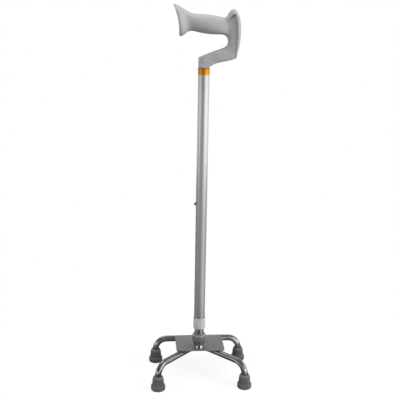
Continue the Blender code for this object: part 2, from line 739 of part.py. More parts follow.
def build_plate(base_axis):
    """The plate across the leg tubes, with the bolt hole under the shaft."""
    front = SHAFT_Y - OUTER_RADIUS - PLATE_FRONT_MARGIN
    back = REAR_Y - LEG_RADIUS + PLATE_REAR_LAP
    low = (PLATE_X - PLATE_WIDTH / 2, front, PLATE_BOTTOM)
    high = (PLATE_X + PLATE_WIDTH / 2, back, PLATE_TOP)
    plate = new_piece("base_plate", box_mesh("base_plate", low, high), GREY_STEEL, None)
    weights = plate.data.attributes.new("bevel_weight_edge", "FLOAT", "EDGE")
    for edge in plate.data.edges:
        ends = [plate.data.vertices[i].co for i in edge.vertices]
        weights.data[edge.index].value = float(abs(ends[0].z - ends[1].z) > PLATE_THICKNESS / 2)
    corners = plate.modifiers.new("corners", "BEVEL")
    corners.limit_method = "WEIGHT"
    corners.width = PLATE_CORNER
    corners.segments = 4
    hole = cylinder_mesh("bolt_hole", BOLT_SHANK_OD / 2 + PIN_GAP, PLATE_THICKNESS + 2 * GAP)
    place = (0, 0, PLATE_BOTTOM - GAP)
    combine(plate, new_cutter("bolt_hole", hole, base_axis, place), "DIFFERENCE")
    build_plate_weld(back)


def build_plate_weld(edge_y):
    """The bead along the plate's back edge, in the corner between it and the rear tube."""
    y = edge_y + GAP + WELD_RADIUS
    rise = math.sqrt((LEG_RADIUS + GAP + WELD_RADIUS) ** 2 - (REAR_Y - y) ** 2)
    count = round(WELD_LENGTH / WELD_STEP)
    route = [
        Vector((PLATE_X + (i / count - 0.5) * WELD_LENGTH, y, LEG_AXIS_Z + rise))
        for i in range(count + 1)
    ]
    curve = bpy.data.curves.new("plate_weld", "CURVE")
    curve.dimensions = "3D"
    curve.bevel_depth = WELD_RADIUS
    curve.bevel_resolution = 1
    curve.use_fill_caps = True
    spline = curve.splines.new("POLY")
    spline.points.add(count)
    for i, (point, place) in enumerate(zip(spline.points, route)):
        point.co = (*place, 1)
        point.radius = 1 - WELD_RIPPLE * (i % 2)
    new_piece("plate_weld", curve, GREY_STEEL, None)


def build_shaft_bolt(base_axis):
    """The bolt up through the plate into the shaft's plug, with its washer."""
    washer_top = PLATE_BOTTOM - GAP
    washer_bottom = washer_top - BOLT_WASHER_THICKNESS
    bore = BOLT_SHANK_OD / 2 + PIN_GAP
    outline = tube_outline(BOLT_WASHER_OD / 2, bore, washer_bottom, washer_top)
    turned("bolt_washer", outline, ZINC_STEEL, base_axis, SMALL_FACETS, ring=True)
    head_top = washer_bottom - GAP
    head_radius = BOLT_HEAD_ACROSS / math.sqrt(3)
    head = cylinder_mesh("shaft_bolt", head_radius, BOLT_HEAD_HEIGHT, 6, smooth=False)
    place = (0, 0, head_top - BOLT_HEAD_HEIGHT)
    bolt = new_piece("shaft_bolt", head, ZINC_STEEL, base_axis, place)
    length = PLATE_TOP + BOLT_REACH - place[2] - BOLT_HEAD_HEIGHT / 2
    shank = cylinder_mesh("bolt_shank", BOLT_SHANK_OD / 2, length)
    start = (0, 0, head_top - BOLT_HEAD_HEIGHT / 2)
    combine(bolt, new_cutter("bolt_shank", shank, base_axis, start), "UNION")


def build_leg_tubes():
    rear = [Vector((side * REAR_FEET_SPAN / 2, REAR_Y, 0)) for side in (-1, 1)]
    left = leg_end(rear[0], Vector((1, 0, 0)))
    right = leg_end(rear[1], Vector((-1, 0, 0)))
    bent_tube("rear_leg_tube", [*left, *reversed(right)], CHROME, None)

    apex = Vector((0, SHAFT_Y + FRONT_APEX_SETBACK, LEG_AXIS_Z))
    front = [Vector((side * FRONT_FEET_SPAN / 2, -REAR_Y, 0)) for side in (-1, 1)]
    arms = [(apex - Vector((foot.x, foot.y, LEG_AXIS_Z))).normalized() for foot in front]
    half_turn = arms[0].angle(-arms[1]) / 2
    bend_centre = apex - Vector((0, FRONT_APEX_BEND / math.cos(half_turn), 0))
    outward = [Vector((side * math.sin(half_turn), math.cos(half_turn), 0)) for side in (-1, 1)]
    route = [
        *leg_end(front[0], arms[0]),
        *arc(bend_centre, outward[0], outward[1], FRONT_APEX_BEND),
        *reversed(leg_end(front[1], arms[1])),
    ]
    bent_tube("front_leg_tube", route, CHROME, None)
    corners = ("front_left", "front_right", "rear_left", "rear_right")
    return dict(zip(corners, (*front, *rear)))


def foot_outline():
    flange = FOOT_FLANGE_OD / 2
    neck = FOOT_NECK_OD / 2
    top = FOOT_TOP_OD / 2
    return [
        (0, FOOT_SOLE),
        (FOOT_BORE, FOOT_SOLE),
        (FOOT_BORE, FOOT_HEIGHT),
        (top - FOOT_EDGE, FOOT_HEIGHT),
        (top, FOOT_HEIGHT - FOOT_EDGE),
        (neck, FOOT_FLANGE_HEIGHT + 2 * FOOT_EDGE),
        (flange - FOOT_EDGE / 2, FOOT_FLANGE_HEIGHT + FOOT_EDGE / 2),
        (flange, FOOT_FLANGE_HEIGHT - FOOT_EDGE),
        (flange, FOOT_EDGE),
        (flange - FOOT_EDGE, 0),
        (0, 0),
    ]


def build_feet(places):
    """A rubber foot on each leg, with a steel disc inside it under the leg's end."""
    disc_bottom = FOOT_SOLE + GAP
    disc_top = disc_bottom + DISC_THICKNESS
    disc_radius = FOOT_BORE - GAP
    for corner, place in places.items():
        foot = turned(f"foot_{corner}", foot_outline(), DARK_RUBBER, None, FOOT_FACETS)
        foot.location = place
        outline = [
            (0, disc_top),
            (disc_radius, disc_top),
            (disc_radius, disc_bottom),
            (0, disc_bottom),
        ]
        disc = turned(f"foot_disc_{corner}", outline, ZINC_STEEL, None, SMALL_FACETS)
        disc.location = place


def build():
    base_axis = new_axis("base_axis", None, (SHAFT_X, SHAFT_Y, 0))
    shaft = new_axis("shaft_axis", base_axis)
    upper = new_axis("upper_axis", shaft)
    build_feet(build_leg_tubes())
    build_plate(base_axis)
    build_shaft_bolt(base_axis)
    build_stem(base_axis)
    build_hub_nut(base_axis)
    build_hub_collet(base_axis)
    build_shaft_plug(shaft)
    build_inner_tube(shaft)
    build_guide_bush(shaft)
    build_snap_button(shaft)
    build_outer_tube(upper)
    build_lock_collar(upper)
    build_orange_ring(upper)
    build_handle(upper)
    build_handle_screw(upper)


build()
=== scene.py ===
"""Looks of the quad cane: moulded palm handle, satin and chromed tubes, steel base, rubber feet.

Metres, +Z up. Each piece is built where the frame's node is, and rides on that node's body.
"""

import json
from math import ceil, copysign, cos, pi, radians, sin, tan, tau

import bmesh
import bpy
import numpy as np
from mathutils import Matrix, Vector

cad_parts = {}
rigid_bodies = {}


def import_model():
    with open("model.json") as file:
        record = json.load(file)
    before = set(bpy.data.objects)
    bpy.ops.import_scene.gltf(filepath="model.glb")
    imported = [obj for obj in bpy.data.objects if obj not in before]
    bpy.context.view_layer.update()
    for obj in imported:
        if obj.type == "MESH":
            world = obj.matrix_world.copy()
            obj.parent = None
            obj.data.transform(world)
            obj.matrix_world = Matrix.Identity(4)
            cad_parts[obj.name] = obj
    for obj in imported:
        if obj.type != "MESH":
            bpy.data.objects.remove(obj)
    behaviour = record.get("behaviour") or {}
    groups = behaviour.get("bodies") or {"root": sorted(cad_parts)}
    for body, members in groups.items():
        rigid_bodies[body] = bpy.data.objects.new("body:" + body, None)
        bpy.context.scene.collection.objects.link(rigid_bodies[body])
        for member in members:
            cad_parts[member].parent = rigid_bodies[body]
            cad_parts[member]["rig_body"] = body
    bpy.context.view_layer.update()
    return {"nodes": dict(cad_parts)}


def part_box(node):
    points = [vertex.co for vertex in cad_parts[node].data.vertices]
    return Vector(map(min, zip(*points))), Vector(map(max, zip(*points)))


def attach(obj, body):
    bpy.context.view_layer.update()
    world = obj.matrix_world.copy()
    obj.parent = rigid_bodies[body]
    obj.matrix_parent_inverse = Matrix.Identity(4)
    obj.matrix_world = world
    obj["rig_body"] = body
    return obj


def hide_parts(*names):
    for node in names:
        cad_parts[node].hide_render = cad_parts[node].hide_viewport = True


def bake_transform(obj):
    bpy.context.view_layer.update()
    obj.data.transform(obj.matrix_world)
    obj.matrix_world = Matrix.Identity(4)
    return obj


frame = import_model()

# Camera, measured from the foot of the shaft
CAMERA_YAW = radians(-4.9674)
CAMERA_DISTANCE = 1.3
CAMERA_HEIGHT = 0.6976
CAMERA_ROLL = radians(1.0081)
CAMERA_LENS = 61.43
CAMERA_FOOT = Vector((-0.0015, -0.005, 0))
AIM_SIDE = -0.0031
AIM_HEIGHT = 0.3762

# Leg tubes
LEG_BEND = 0.023
LEG_END_Z = 0.0101
FRONT_APEX_BEND = 0.030
FRONT_APEX_SETBACK = 0.034
BEND_STEP = radians(3)

# Shaft: its two tubes, the height holes, the button and the spring behind it
TUBE_WALL = 0.0012
TUBE_EDGE = 0.0003
BORE_EDGE = 0.0002
HOLE_COUNT = 7
HOLE_PITCH = 0.025
HOLE_RADIUS = 0.0034
HOLE_CHAMFER = 0.0004
HOLE_CUTTER_FOOT = 0.001
HOLE_CUTTER_SPARE = 0.002
BUTTON_RADIUS = 0.0031
BUTTON_DOME = 0.0028
BUTTON_SHOULDER = 0.0012
BUTTON_EDGE = 0.0002
SPRING_STRIP = 0.0006
SPRING_STEPS = 32

# Gaps between turned pieces: where one turns on the other, and where one is seated in the other
TURNING_GAP = 0.0002
SEAT_GAP = 0.0003

# Nut: its body tapers to NUT_FOOT, and has flutes up to NUT_FLUTE_TOP_Z
NUT_RIM = 0.0137
NUT_FOOT = 0.0122
NUT_TAPER = 0.0043
NUT_WAIST_Z = 0.0805
NUT_FLUTES = 10
NUT_FLUTE_RADIUS = 0.0024
NUT_FLUTE_FOOT_DEPTH = 0.0004
NUT_FLUTE_HALF = 0.00825
NUT_FLUTE_TOP_Z = 0.0792
COLLET_SLOT = 0.0012

# Plate, welds and bolt
PLATE_CORNER = 0.003
PLATE_EDGE = 0.0005
BOLT_RADIUS = 0.003
BOLT_HOLE = 0.0033
BOLT_HEAD_HEIGHT = 0.002
STEM_WELD_RIPPLES = 60
PLATE_WELD_RIPPLES = 16
WELD_SMOOTH = 60

# Feet
FOOT_CORNERS = ("front_left", "front_right", "rear_left", "rear_right")
SOLE_GROOVES = (0.0112, 0.0088, 0.0064, 0.0040)
SOLE_GROOVE_DEPTH = 0.0009

# Handle: each station is the outer edge (x, z), the inner edge (x, z) and half the width at those
# two edges, all in HANDLE_UNIT from the shaft's axis and from the top of the outer tube, and how
# square the section is
HANDLE_UNIT = 0.001
FLARE_STATIONS = (
    ((-51, 104), (-45, 69), (12, 18), 2.2),
    ((-58.4, 112.8), (-48.4, 59), (16.5, 25.5), 2.2),
    ((-59.2, 116.6), (-46.2, 55.4), (17.5, 27.5), 2.2),
    ((-53.5, 116), (-40.6, 56.2), (16.5, 24), 2.2),
    ((-41, 108.8), (-35.4, 61.2), (14.6, 15), 2.2),
    ((-30.5, 102.6), (-30, 66), (15.2, 11.4), 2.2),
)
GRIP_STATIONS = (
    ((-20, 98.2), (-20.5, 66.6), (15.4, 11.8), 2.2),
    ((-8, 98.4), (-8.5, 63.2), (14.2, 14.4), 2.2),
    ((6, 98), (5.5, 61.4), (12.6, 18.6), 2.4),
    ((20, 95.8), (18, 60.6), (11.4, 21), 2.7),
    ((32, 93.8), (28, 61), (11.2, 21.4), 3),
)
WEB_STATIONS = (
    ((39, 91.6), (35.2, 60.8), (11.4, 19), 3.2),
    ((44.2, 98.6), (39.8, 58.8), (12, 15.2), 3.4),
    ((52, 105.4), (41.4, 56.6), (14.4, 13.6), 4.5),
    ((59.6, 101), (42.8, 54.2), (16.8, 13.2), 4.5),
    ((64.6, 85.6), (44, 51.4), (18.6, 12.8), 4.5),
    ((65.6, 62), (44.4, 48.2), (17.8, 12.6), 4.5),
    ((63.8, 40), (43.4, 43.6), (14.8, 12.4), 4.5),
    ((60.6, 24), (40.4, 39.8), (11.2, 12.2), 4.5),
)
WEB_TOP_STATIONS = (
    ((44.5, 93), (44.5, 80), (11, 12), 8),
    ((47.5, 100), (47.5, 76), (12.8, 13.4), 8),
    ((52, 105), (52, 74), (14.8, 14.8), 8),
    ((56.5, 104), (56.5, 72), (16.4, 16.2), 8),
    ((60.5, 96), (60.5, 70), (17.8, 17.4), 8),
    ((62, 84), (62, 70), (18.2, 17.8), 8),
)
ARM_STATIONS = (
    ((59.4, 16.8), (36.6, 37.8), (10.8, 12), 4.5),
    ((51, 14.9), (30.6, 35.6), (11.4, 12), 4.5),
    ((38, 11.8), (20, 31.4), (12.2, 12.2), 4.5),
    ((27, 9.9), (8, 26.8), (11.5, 11.5), 4.5),
    ((13.5, 5), (-2, 21), (10, 10), 4.5),
)
GUARD_STATIONS = (
    ((34.5, 86.5), (39.5, 80.5), (10.7, 14.5), 5),
    ((42.2, 94), (46, 91), (12.2, 16.5), 5),
    ((45.7, 102), (50, 95.2), (13.6, 18.4), 5),
    ((50.4, 107.2), (52.4, 97), (12.6, 19.8), 5),
    ((55.4, 108.4), (54.4, 97), (12.6, 20.8), 5),
    ((59.8, 102.4), (56.2, 95), (13.6, 21.4), 5),
    ((64, 94), (57.3, 91.8), (15, 22), 5),
    ((66.2, 84.6), (58.8, 83.8), (15.4, 22.2), 5),
    ((67, 72), (59.7, 71.8), (15, 21.6), 5),
    ((67.1, 58.6), (59.8, 59), (14.8, 20), 5),
    ((65.5, 43.6), (59.2, 44.6), (12.9, 17.4), 5),
    ((62.8, 30.4), (59, 31.2), (10.5, 14.2), 5),
    ((60.6, 19.2), (57, 20.4), (8.3, 11.2), 5),
    ((60.4, 17.6), (56.8, 18.6), (8.1, 11), 5),
)
FLARE_BOW = 5.0
FLARE_BOW_FADE = 3
RING_POINTS = 12
GUARD_POINTS = 28
HANDLE_GAP = 0.0003
HANDLE_VOXEL = 0.00055
HANDLE_RELAX = 7
HANDLE_SPARE = 0.003

# Neck of the handle: round where it stands on the tube, in a block with cut-off upright edges
NECK_RADIUS = 0.0105
NECK_STEP = 0.0005
NECK_ROUND_HEIGHT = 0.007
NECK_BLOCK_REACH = 0.026
NECK_BLOCK_TOP = 0.040
NECK_BLOCK_EDGE = 0.0016
NECK_CUT_LENGTH = 0.0086
NECK_CUT_DEPTH = 0.0058
NECK_TOP_SLOPE = 0.40
NECK_TOP_Z = 0.0234
NECK_UNDER_SLOPE = 0.60
NECK_UNDER_X = 0.0062

# Painted reflections of a room for the metal, on glowing cards that only reflections see: round
# walls, a ceiling and a floor in rings
ROOM_RADIUS = 2.1
ROOM_HEIGHT = 2.2
WALL_FOOT_Z = -0.02
WALL_SPLIT_Z = 0.60
CEILING_HOLE = 0.01
FLOOR_RING_Z = 0.002

# Its greys, from the left (-) to the right (+) of the camera's side: (azimuth in degrees, level)
CARD_PEAK = 2.5
WALL_PAINT = (
    (-180, 1), (-150, 1.2), (-127, 1.1), (-110, 0.7), (-95, 0.8), (-80, 1.4), (-66, 1.5),
    (-54, 1.1), (-42, 0.75), (-22, 0.55), (-4, 0.52), (10, 0.8), (22, 1.2), (36, 1.9), (50, 2.2),
    (76, 2.1), (96, 1.6), (117, 1.3), (140, 1.1), (180, 1),
)
UPPER_WALL_PAINT = (
    (-180, 0.15), (-80, 0.2), (-50, 0.12), (4, 0.12), (9, 0.6), (30, 0.6), (45, 1.2), (70, 1.2),
    (84, 0.25), (94, 0.25), (99, 1.2), (106, 1.2), (112, 0.3), (140, 0.3), (180, 0.15),
)
CEILING_PAINT = (
    (-180, 0.3), (-150, 1.2), (-125, 1.2), (-110, 0.3), (0, 0.2), (50, 0.4), (180, 0.3),
)
FAR_FLOOR_PAINT = (
    (-180, 0.4), (-140, 0.4), (-100, 0.3), (-72, 0.42), (-45, 0.36), (-20, 0.40), (-5, 0.42),
    (15, 0.6), (35, 0.8), (60, 1), (82, 0.75), (110, 0.55), (140, 0.5), (180, 0.4),
)
FLOOR_LEFT = ((-180, 0.2), (-95, 0.18), (-75, 0.4), (-62, 0.3), (-50, 0.09), (-10, 0.09))
FLOOR_RIGHT = ((66, 0.3), (140, 0.2), (180, 0.2))
# Its band from 38 to 56 degrees is a painted sheen on the right of the nut, the collar and the feet
NEAR_FLOOR_PAINT = (*FLOOR_LEFT, (26, 0.14), (38, 0.7), (56, 0.7), *FLOOR_RIGHT)
LEG_FLOOR_PAINT = (*FLOOR_LEFT, (26, 0.12), *FLOOR_RIGHT)
# Its bright bands are painted highlights: the stripes down the stem
STEM_FLOOR_PAINT = (
    (-180, 0.12), (-66, 0.12), (-60, 2.2), (-40, 2.2), (-36, 0.09), (26, 0.12), (32, 2.5),
    (70, 2.5), (78, 0.3), (180, 0.12),
)
FOOT_FLOOR_PAINT = ((-180, 0.12), (0, 0.12), (60, 0.2), (180, 0.12))

# The floor's rings: name, inner edge, outer edge, paint
FLOOR_RINGS = (
    ("far_floor_paint", 0.30, 2.1, FAR_FLOOR_PAINT),
    ("near_floor_paint", 0.19, 0.30, NEAR_FLOOR_PAINT),
    ("leg_floor_paint", 0.145, 0.19, LEG_FLOOR_PAINT),
    ("stem_floor_paint", 0.105, 0.145, STEM_FLOOR_PAINT),
    ("foot_floor_paint", 0.005, 0.105, FOOT_FLOOR_PAINT),
)

# Lamps: name, place, width, height, power. They aim at LAMP_AIM_Z on the shaft.
LAMPS = (
    ("overhead", (0.1, 0, 2.6), 2, 2, 41),
    ("right_key", (1.4, -1.1, 1.4), 0.9, 1.2, 18),
    ("low_right_key", (1.8, -0.65, 0.7), 0.9, 1.2, 18),
    ("left_fill", (-1.8, -0.3, 1.1), 0.9, 1.2, 18),
)
LAMP_AIM_Z = 0.45
WORLD_LEVEL = 0.25
WHITE = (1.0, 1.0, 1.0)


def operator(operation, swapped=False):
    """A method that joins a value and another one with a Math node."""

    def method(self, other):
        pair = (other, self) if swapped else (self, other)
        return self.owner.node("Math", {"operation": operation}, pair)

    return method


class Value:
    """A socket's value. Arithmetic on it adds Math nodes to its material."""

    def __init__(self, owner, socket):
        self.owner = owner
        self.socket = socket

    __add__ = __radd__ = operator("ADD")
    __mul__ = __rmul__ = operator("MULTIPLY")
    __sub__ = operator("SUBTRACT")
    __rsub__ = operator("SUBTRACT", swapped=True)
    __truediv__ = operator("DIVIDE")
    __pow__ = operator("POWER")
    larger = operator("MAXIMUM")
    azimuth = operator("ARCTAN2")


class Nodes:
    """The nodes of a material or a world."""

    def __init__(self, tree):
        self.tree = tree

    def node(self, kind, settings=None, inputs=(), output=0):
        """Adds a node. Its settings are set first, then the values or links of its sockets."""
        node = self.tree.nodes.new("ShaderNode" + kind)
        for key, value in (settings or {}).items():
            setattr(node, key, value)
        pairs = inputs.items() if isinstance(inputs, dict) else enumerate(inputs)
        for key, value in pairs:
            self.join(node.inputs[key], value)
        return Value(self, node.outputs[output])

    def join(self, socket, value):
        if isinstance(value, Value):
            self.tree.links.new(value.socket, socket)
        elif isinstance(value, tuple) and len(value) == 3 and socket.type == "RGBA":
            socket.default_value = (*value, 1.0)
        else:
            socket.default_value = value

    def ray(self, kind):
        """1 for rays of that kind, and 0 for the others."""
        return self.node("LightPath", output=f"Is {kind} Ray")

    def seen(self):
        """1 for what the camera sees itself, in metal or through glass."""
        return self.ray("Camera").larger(self.ray("Glossy")).larger(self.ray("Transmission"))


class Finish(Nodes):
    """A material that is being made, with its Principled shader and the nodes that feed it."""

    def __init__(self, name, metallic=0.0, **fixed):
        self.material = bpy.data.materials.new(name)
        self.material.use_nodes = True
        super().__init__(self.material.node_tree)
        self.shader = self.tree.nodes["Principled BSDF"]
        self.shader.inputs["Metallic"].default_value = metallic
        for socket, value in fixed.items():
            self.shader.inputs[socket.replace("_", " ")].default_value = value
        self.place = self.node("TexCoord", output="Object")

    def surface(self, shader):
        self.join(self.tree.nodes["Material Output"].inputs["Surface"], shader)

    def feed(self, name, value):
        self.join(self.shader.inputs[name], value)

    def noise(self, scale, detail=3.0, roughness=0.55, stretch=(1, 1, 1)):
        """Noise from 0 to 1 at that many cells a metre, with each axis scaled by the stretch."""
        place = self.node("VectorMath", {"operation": "MULTIPLY"}, (self.place, stretch))
        inputs = {"Vector": place, "Scale": scale, "Detail": detail, "Roughness": roughness}
        return self.node("TexNoise", {}, inputs)

    def cells(self, scale):
        """Distance to the nearest of scattered points, at that many a metre."""
        return self.node("TexVoronoi", {}, {"Vector": self.place, "Scale": scale}, "Distance")

    def ramp(self, value, *stops):
        """Maps a value through (place, grey) stops."""
        grey = self.node("ValToRGB", {}, (value,))
        elements = grey.socket.node.color_ramp.elements
        while len(elements) < len(stops):
            elements.new(1.0)
        for element, (place, level) in zip(elements, stops):
            element.position = place
            element.color = (level, level, level, 1.0)
        return grey

    def mix(self, factor, first, second):
        """A colour between two colours."""
        inputs = {"Factor": factor, 6: first, 7: second}
        return self.node("Mix", {"data_type": "RGBA"}, inputs, 2)

    def tone(self, colour, base, *marks):
        """A colour in two shades, (factor, darker, lighter), and marks on it, (factor, shade)."""
        factor, darker, lighter = base
        tone = self.mix(factor, shade(colour, darker), shade(colour, lighter))
        for factor, level in marks:
            tone = self.mix(factor, tone, shade(colour, level))
        return tone

    def split(self, axis):
        return self.node("SeparateXYZ", {}, (self.place,), axis)

    def radius(self, centre):
        """Distance from the upright line through centre."""
        x = self.split("X") - centre[0]
        y = self.split("Y") - centre[1]
        return (x * x + y * y) ** 0.5

    def finished(self, colour, roughness, height, depth, strength):
        """The material with its colour, roughness and bump. The bump's depth is in metres."""
        self.feed("Base Color", colour)
        self.feed("Roughness", roughness)
        inputs = {"Strength": strength, "Distance": depth, "Height": height}
        self.feed("Normal", self.node("Bump", {}, inputs))
        return self.material


def shade(colour, factor):
    return tuple(channel * factor for channel in colour)


def moulded_grey():
    """The handle's grey plastic: a fine spark-eroded grain with lighter specks, a little cloudy."""
    finish = Finish("moulded_grey_plastic", Specular_IOR_Level=0.45)
    grey = (0.386, 0.380, 0.394)
    cloud = finish.noise(22, detail=4)
    speck = finish.noise(1900, detail=2)
    grain = finish.noise(1500, roughness=0.6)
    light = finish.ramp(speck, (0.35, 0), (0.75, 1))
    tone = finish.tone(grey, (cloud, 0.95, 1.06), (light * 0.22, 1.16))
    roughness = 0.40 + 0.10 * cloud + 0.05 * speck
    return finish.finished(tone, roughness, grain + 0.4 * cloud, 0.00010, 0.35)


def satin_aluminium():
    """Drawn tube, anodised: fine lines along its length and faint handling marks."""
    finish = Finish("satin_anodised_aluminium", metallic=0.93)
    silver = (0.515, 0.499, 0.492)
    lines = finish.noise(1500, stretch=(1, 1, 0.012))
    bands = finish.noise(60, detail=2, stretch=(1, 1, 0.25))
    marks = finish.noise(400, detail=5, stretch=(1, 1, 0.08))
    marks = finish.ramp(marks, (0.66, 0), (0.8, 1))
    tone = finish.tone(silver, (lines, 0.90, 1.07), (bands * 0.35, 0.86), (marks * 0.25, 1.25))
    roughness = 0.19 + 0.08 * lines + 0.07 * bands - 0.05 * marks
    return finish.finished(tone, roughness, lines + 0.3 * marks, 0.00004, 0.10)


def orange_anodised():
    """Orange anodised ring, turned, with lines round it."""
    finish = Finish("orange_anodised_aluminium", metallic=1, Coat_Weight=0.25)
    orange = (0.62, 0.208, 0.011)
    light = (0.68, 0.262, 0.022)
    deep = (0.56, 0.19, 0.009)
    turning = finish.noise(2600, detail=2, stretch=(0.02, 0.02, 1))
    cloud = finish.noise(120)
    tone = finish.mix(cloud * 0.3, finish.mix(turning, shade(orange, 0.88), light), deep)
    return finish.finished(tone, 0.24 + 0.10 * turning + 0.05 * cloud, turning, 0.00003, 0.3)


def bright_chrome(name, silver, gloss):
    """Chrome plate with faint haze, wiping marks and a slight waviness of the tube under it."""
    finish = Finish(name, metallic=1)
    haze = finish.noise(70, detail=5)
    wipe = finish.noise(500, detail=4, stretch=(0.15, 1, 1))
    specks = finish.ramp(finish.cells(420), (0.02, 1), (0.06, 0))
    tone = finish.tone(silver, (haze, 0.92, 1.06), (specks * 0.35, 0.6))
    roughness = gloss + 0.05 * haze * wipe + 0.10 * specks
    return finish.finished(tone, roughness, haze + 0.15 * wipe, 0.00012, 0.12)


def dull_steel():
    """Plated plate: grey, with a rolling grain, small mottling and fine scratches."""
    finish = Finish("dull_grey_plate_steel", metallic=0.85)
    grey = (0.372, 0.363, 0.376)
    grain = finish.noise(900, detail=4, stretch=(0.10, 1, 1))
    mottle = finish.noise(130, detail=5)
    scratch = finish.noise(350, detail=2, stretch=(0.06, 1, 1))
    scratch = finish.ramp(scratch, (0.70, 0), (0.74, 1))
    tone = finish.tone(grey, (mottle, 0.84, 1.14), (grain * 0.4, 1.2), (scratch * 0.3, 1.7))
    roughness = 0.40 + 0.12 * mottle + 0.08 * grain - 0.08 * scratch
    return finish.finished(tone, roughness, grain * 0.6 + mottle - 0.5 * scratch, 0.00006, 0.35)


def weld_steel():
    """A weld bead: grey with a heat tint."""
    finish = Finish("weld_bead_steel", metallic=0.85)
    heat = finish.noise(160, detail=4)
    tone = finish.mix(heat, (0.16, 0.15, 0.15), (0.30, 0.28, 0.26))
    bead = finish.noise(1800)
    return finish.finished(tone, 0.35 + 0.25 * heat, bead, 0.0001, 0.4)


def dark_plastic():
    """The nut's dark moulded plastic, half gloss: a fine dusting in its grain, painted shade in the
    flutes, which lie inside the nut's cone, and a painted highlight on the rim."""
    finish = Finish("dark_grey_nut_plastic", Coat_Weight=1, Coat_Roughness=0.15)
    dark = (0.118, 0.118, 0.126)
    shade_depth = 0.0009
    cloud = finish.noise(180, detail=4)
    grain = finish.noise(2200, detail=2)
    low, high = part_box("hub_nut")
    height = (finish.split("Z") - low.z) / (high.z - low.z)
    cone = NUT_FOOT + NUT_TAPER * height
    # Painted shade: the flutes, inside the nut's cone, are darkened
    flute = finish.ramp((cone - finish.radius(SHAFT)) / shade_depth, (0, 0), (1, 1))
    flute = flute * finish.ramp(height, (0.47, 1), (0.50, 0))
    # Painted highlight: the top edge of the rim is made light
    rim = finish.ramp(height - 0.2, (0.745, 0), (0.78, 0.7), (0.80, 1), (0.803, 0))
    marks = ((grain * 0.15, 2), (flute * 0.7, 0.25), (rim, 3.6))
    tone = finish.tone(dark, (cloud, 0.85, 1.25), *marks)
    return finish.finished(tone, 0.28 + 0.12 * cloud + 0.06 * grain, grain + cloud, 0.00005, 0.25)


def pale_plastic():
    """The collar's pale plastic, slightly milky."""
    milk = {"Subsurface_Weight": 0.12, "Subsurface_Radius": (0.002, 0.002, 0.002)}
    finish = Finish("pale_grey_collar_plastic", **milk)
    pale = (0.54, 0.54, 0.54)
    cloud = finish.noise(110, detail=4)
    grain = finish.noise(1700, detail=2)
    tone = finish.tone(pale, (cloud, 0.93, 1.08), (grain * 0.15, 1.2))
    return finish.finished(tone, 0.30 + 0.12 * cloud + 0.05 * grain, grain + cloud, 0.00004, 0.25)


def white_nylon():
    milk = {"Subsurface_Weight": 0.2, "Subsurface_Radius": (0.002, 0.002, 0.0015)}
    finish = Finish("natural_nylon", **milk)
    cloud = finish.noise(140, detail=4)
    tone = finish.mix(cloud, (0.66, 0.65, 0.61), (0.76, 0.75, 0.72))
    return finish.finished(tone, 0.42 + 0.15 * cloud, finish.noise(1500), 0.00004, 0.3)


def zinc_steel():
    finish = Finish("zinc_plated_steel", metallic=0.95)
    crystal = finish.cells(900)
    cloud = finish.noise(200, detail=4)
    tone = finish.mix(cloud, (0.46, 0.46, 0.47), (0.60, 0.60, 0.61))
    return finish.finished(tone, 0.26 + 0.12 * cloud + 0.06 * crystal, crystal, 0.00003, 0.25)


def spring_strip():
    finish = Finish("blued_spring_strip", metallic=0.95)
    lines = finish.noise(1500, stretch=(1, 1, 0.05))
    tone = finish.mix(lines, (0.26, 0.28, 0.33), (0.38, 0.39, 0.42))
    return finish.finished(tone, 0.24 + 0.12 * lines, lines, 0.00003, 0.3)


def dull_brass():
    finish = Finish("dull_brass_button", metallic=0.95)
    tarnish = finish.noise(600, detail=5)
    tone = finish.mix(tarnish, (0.20, 0.165, 0.09), (0.46, 0.38, 0.20))
    return finish.finished(tone, 0.24 + 0.2 * tarnish, tarnish, 0.00004, 0.3)


def foot_rubber():
    """The feet's dark rubber: fine moulded grain, a dusting on the sole and the step, and painted
    light on the top, which faces up.
    """
    finish = Finish("dark_grey_foot_rubber", Specular_IOR_Level=0.35)
    rubber = (0.082, 0.080, 0.096)
    # Lighter grey: a dusting on the sole and the step, and painted light on the top
    dust_and_lit_top_grey = (0.19, 0.185, 0.20)
    foot_height = 0.03
    cloud = finish.noise(90, detail=5)
    grain = finish.noise(1300, roughness=0.65)
    sole = ((0, 0.5), (0.06, 0))
    step = ((0.33, 0), (0.37, 0.5), (0.41, 0))
    # Painted light: the top band, which faces up, is made lighter
    top = ((0.78, 0), (0.86, 1))
    dust_and_lit_top = finish.ramp(finish.split("Z") / foot_height, *sole, *step, *top)
    dust_and_lit_top = dust_and_lit_top * (0.6 + 0.4 * cloud)
    tone = finish.tone(rubber, (cloud, 0.85, 1.22), (grain * 0.25, 1.7))
    tone = finish.mix(dust_and_lit_top * 0.6, tone, dust_and_lit_top_grey)
    roughness = 0.52 + 0.16 * cloud + 0.10 * grain
    return finish.finished(tone, roughness, grain + 0.5 * cloud, 0.00012, 0.45)


def middle_of(node):
    low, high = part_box(node)
    return (low + high) / 2


def radius_of(node):
    low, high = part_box(node)
    return (high.y - low.y) / 2


SHAFT = middle_of("outer_tube")
SHAFT_FOOT = Vector((SHAFT.x, SHAFT.y, 0))


def coat(piece, material, smooth_angle=32):
    """Gives a piece its material and its shading: smooth, but sharp over that angle."""
    piece.data.materials.clear()
    piece.data.materials.append(material)
    piece.data.shade_smooth()
    piece.data.set_sharp_from_angle(angle=radians(smooth_angle))


def dress(piece, node, material, smooth_angle=32):
    """Puts a piece in the place of its node, which it hides, on that node's body, with its material
    and shading.
    """
    coat(piece, material, smooth_angle)
    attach(piece, frame["nodes"][node]["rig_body"])
    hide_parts(node)


def add(name, data):
    """A new object in the scene."""
    thing = bpy.data.objects.new(name, data)
    bpy.context.scene.collection.objects.link(thing)
    return thing


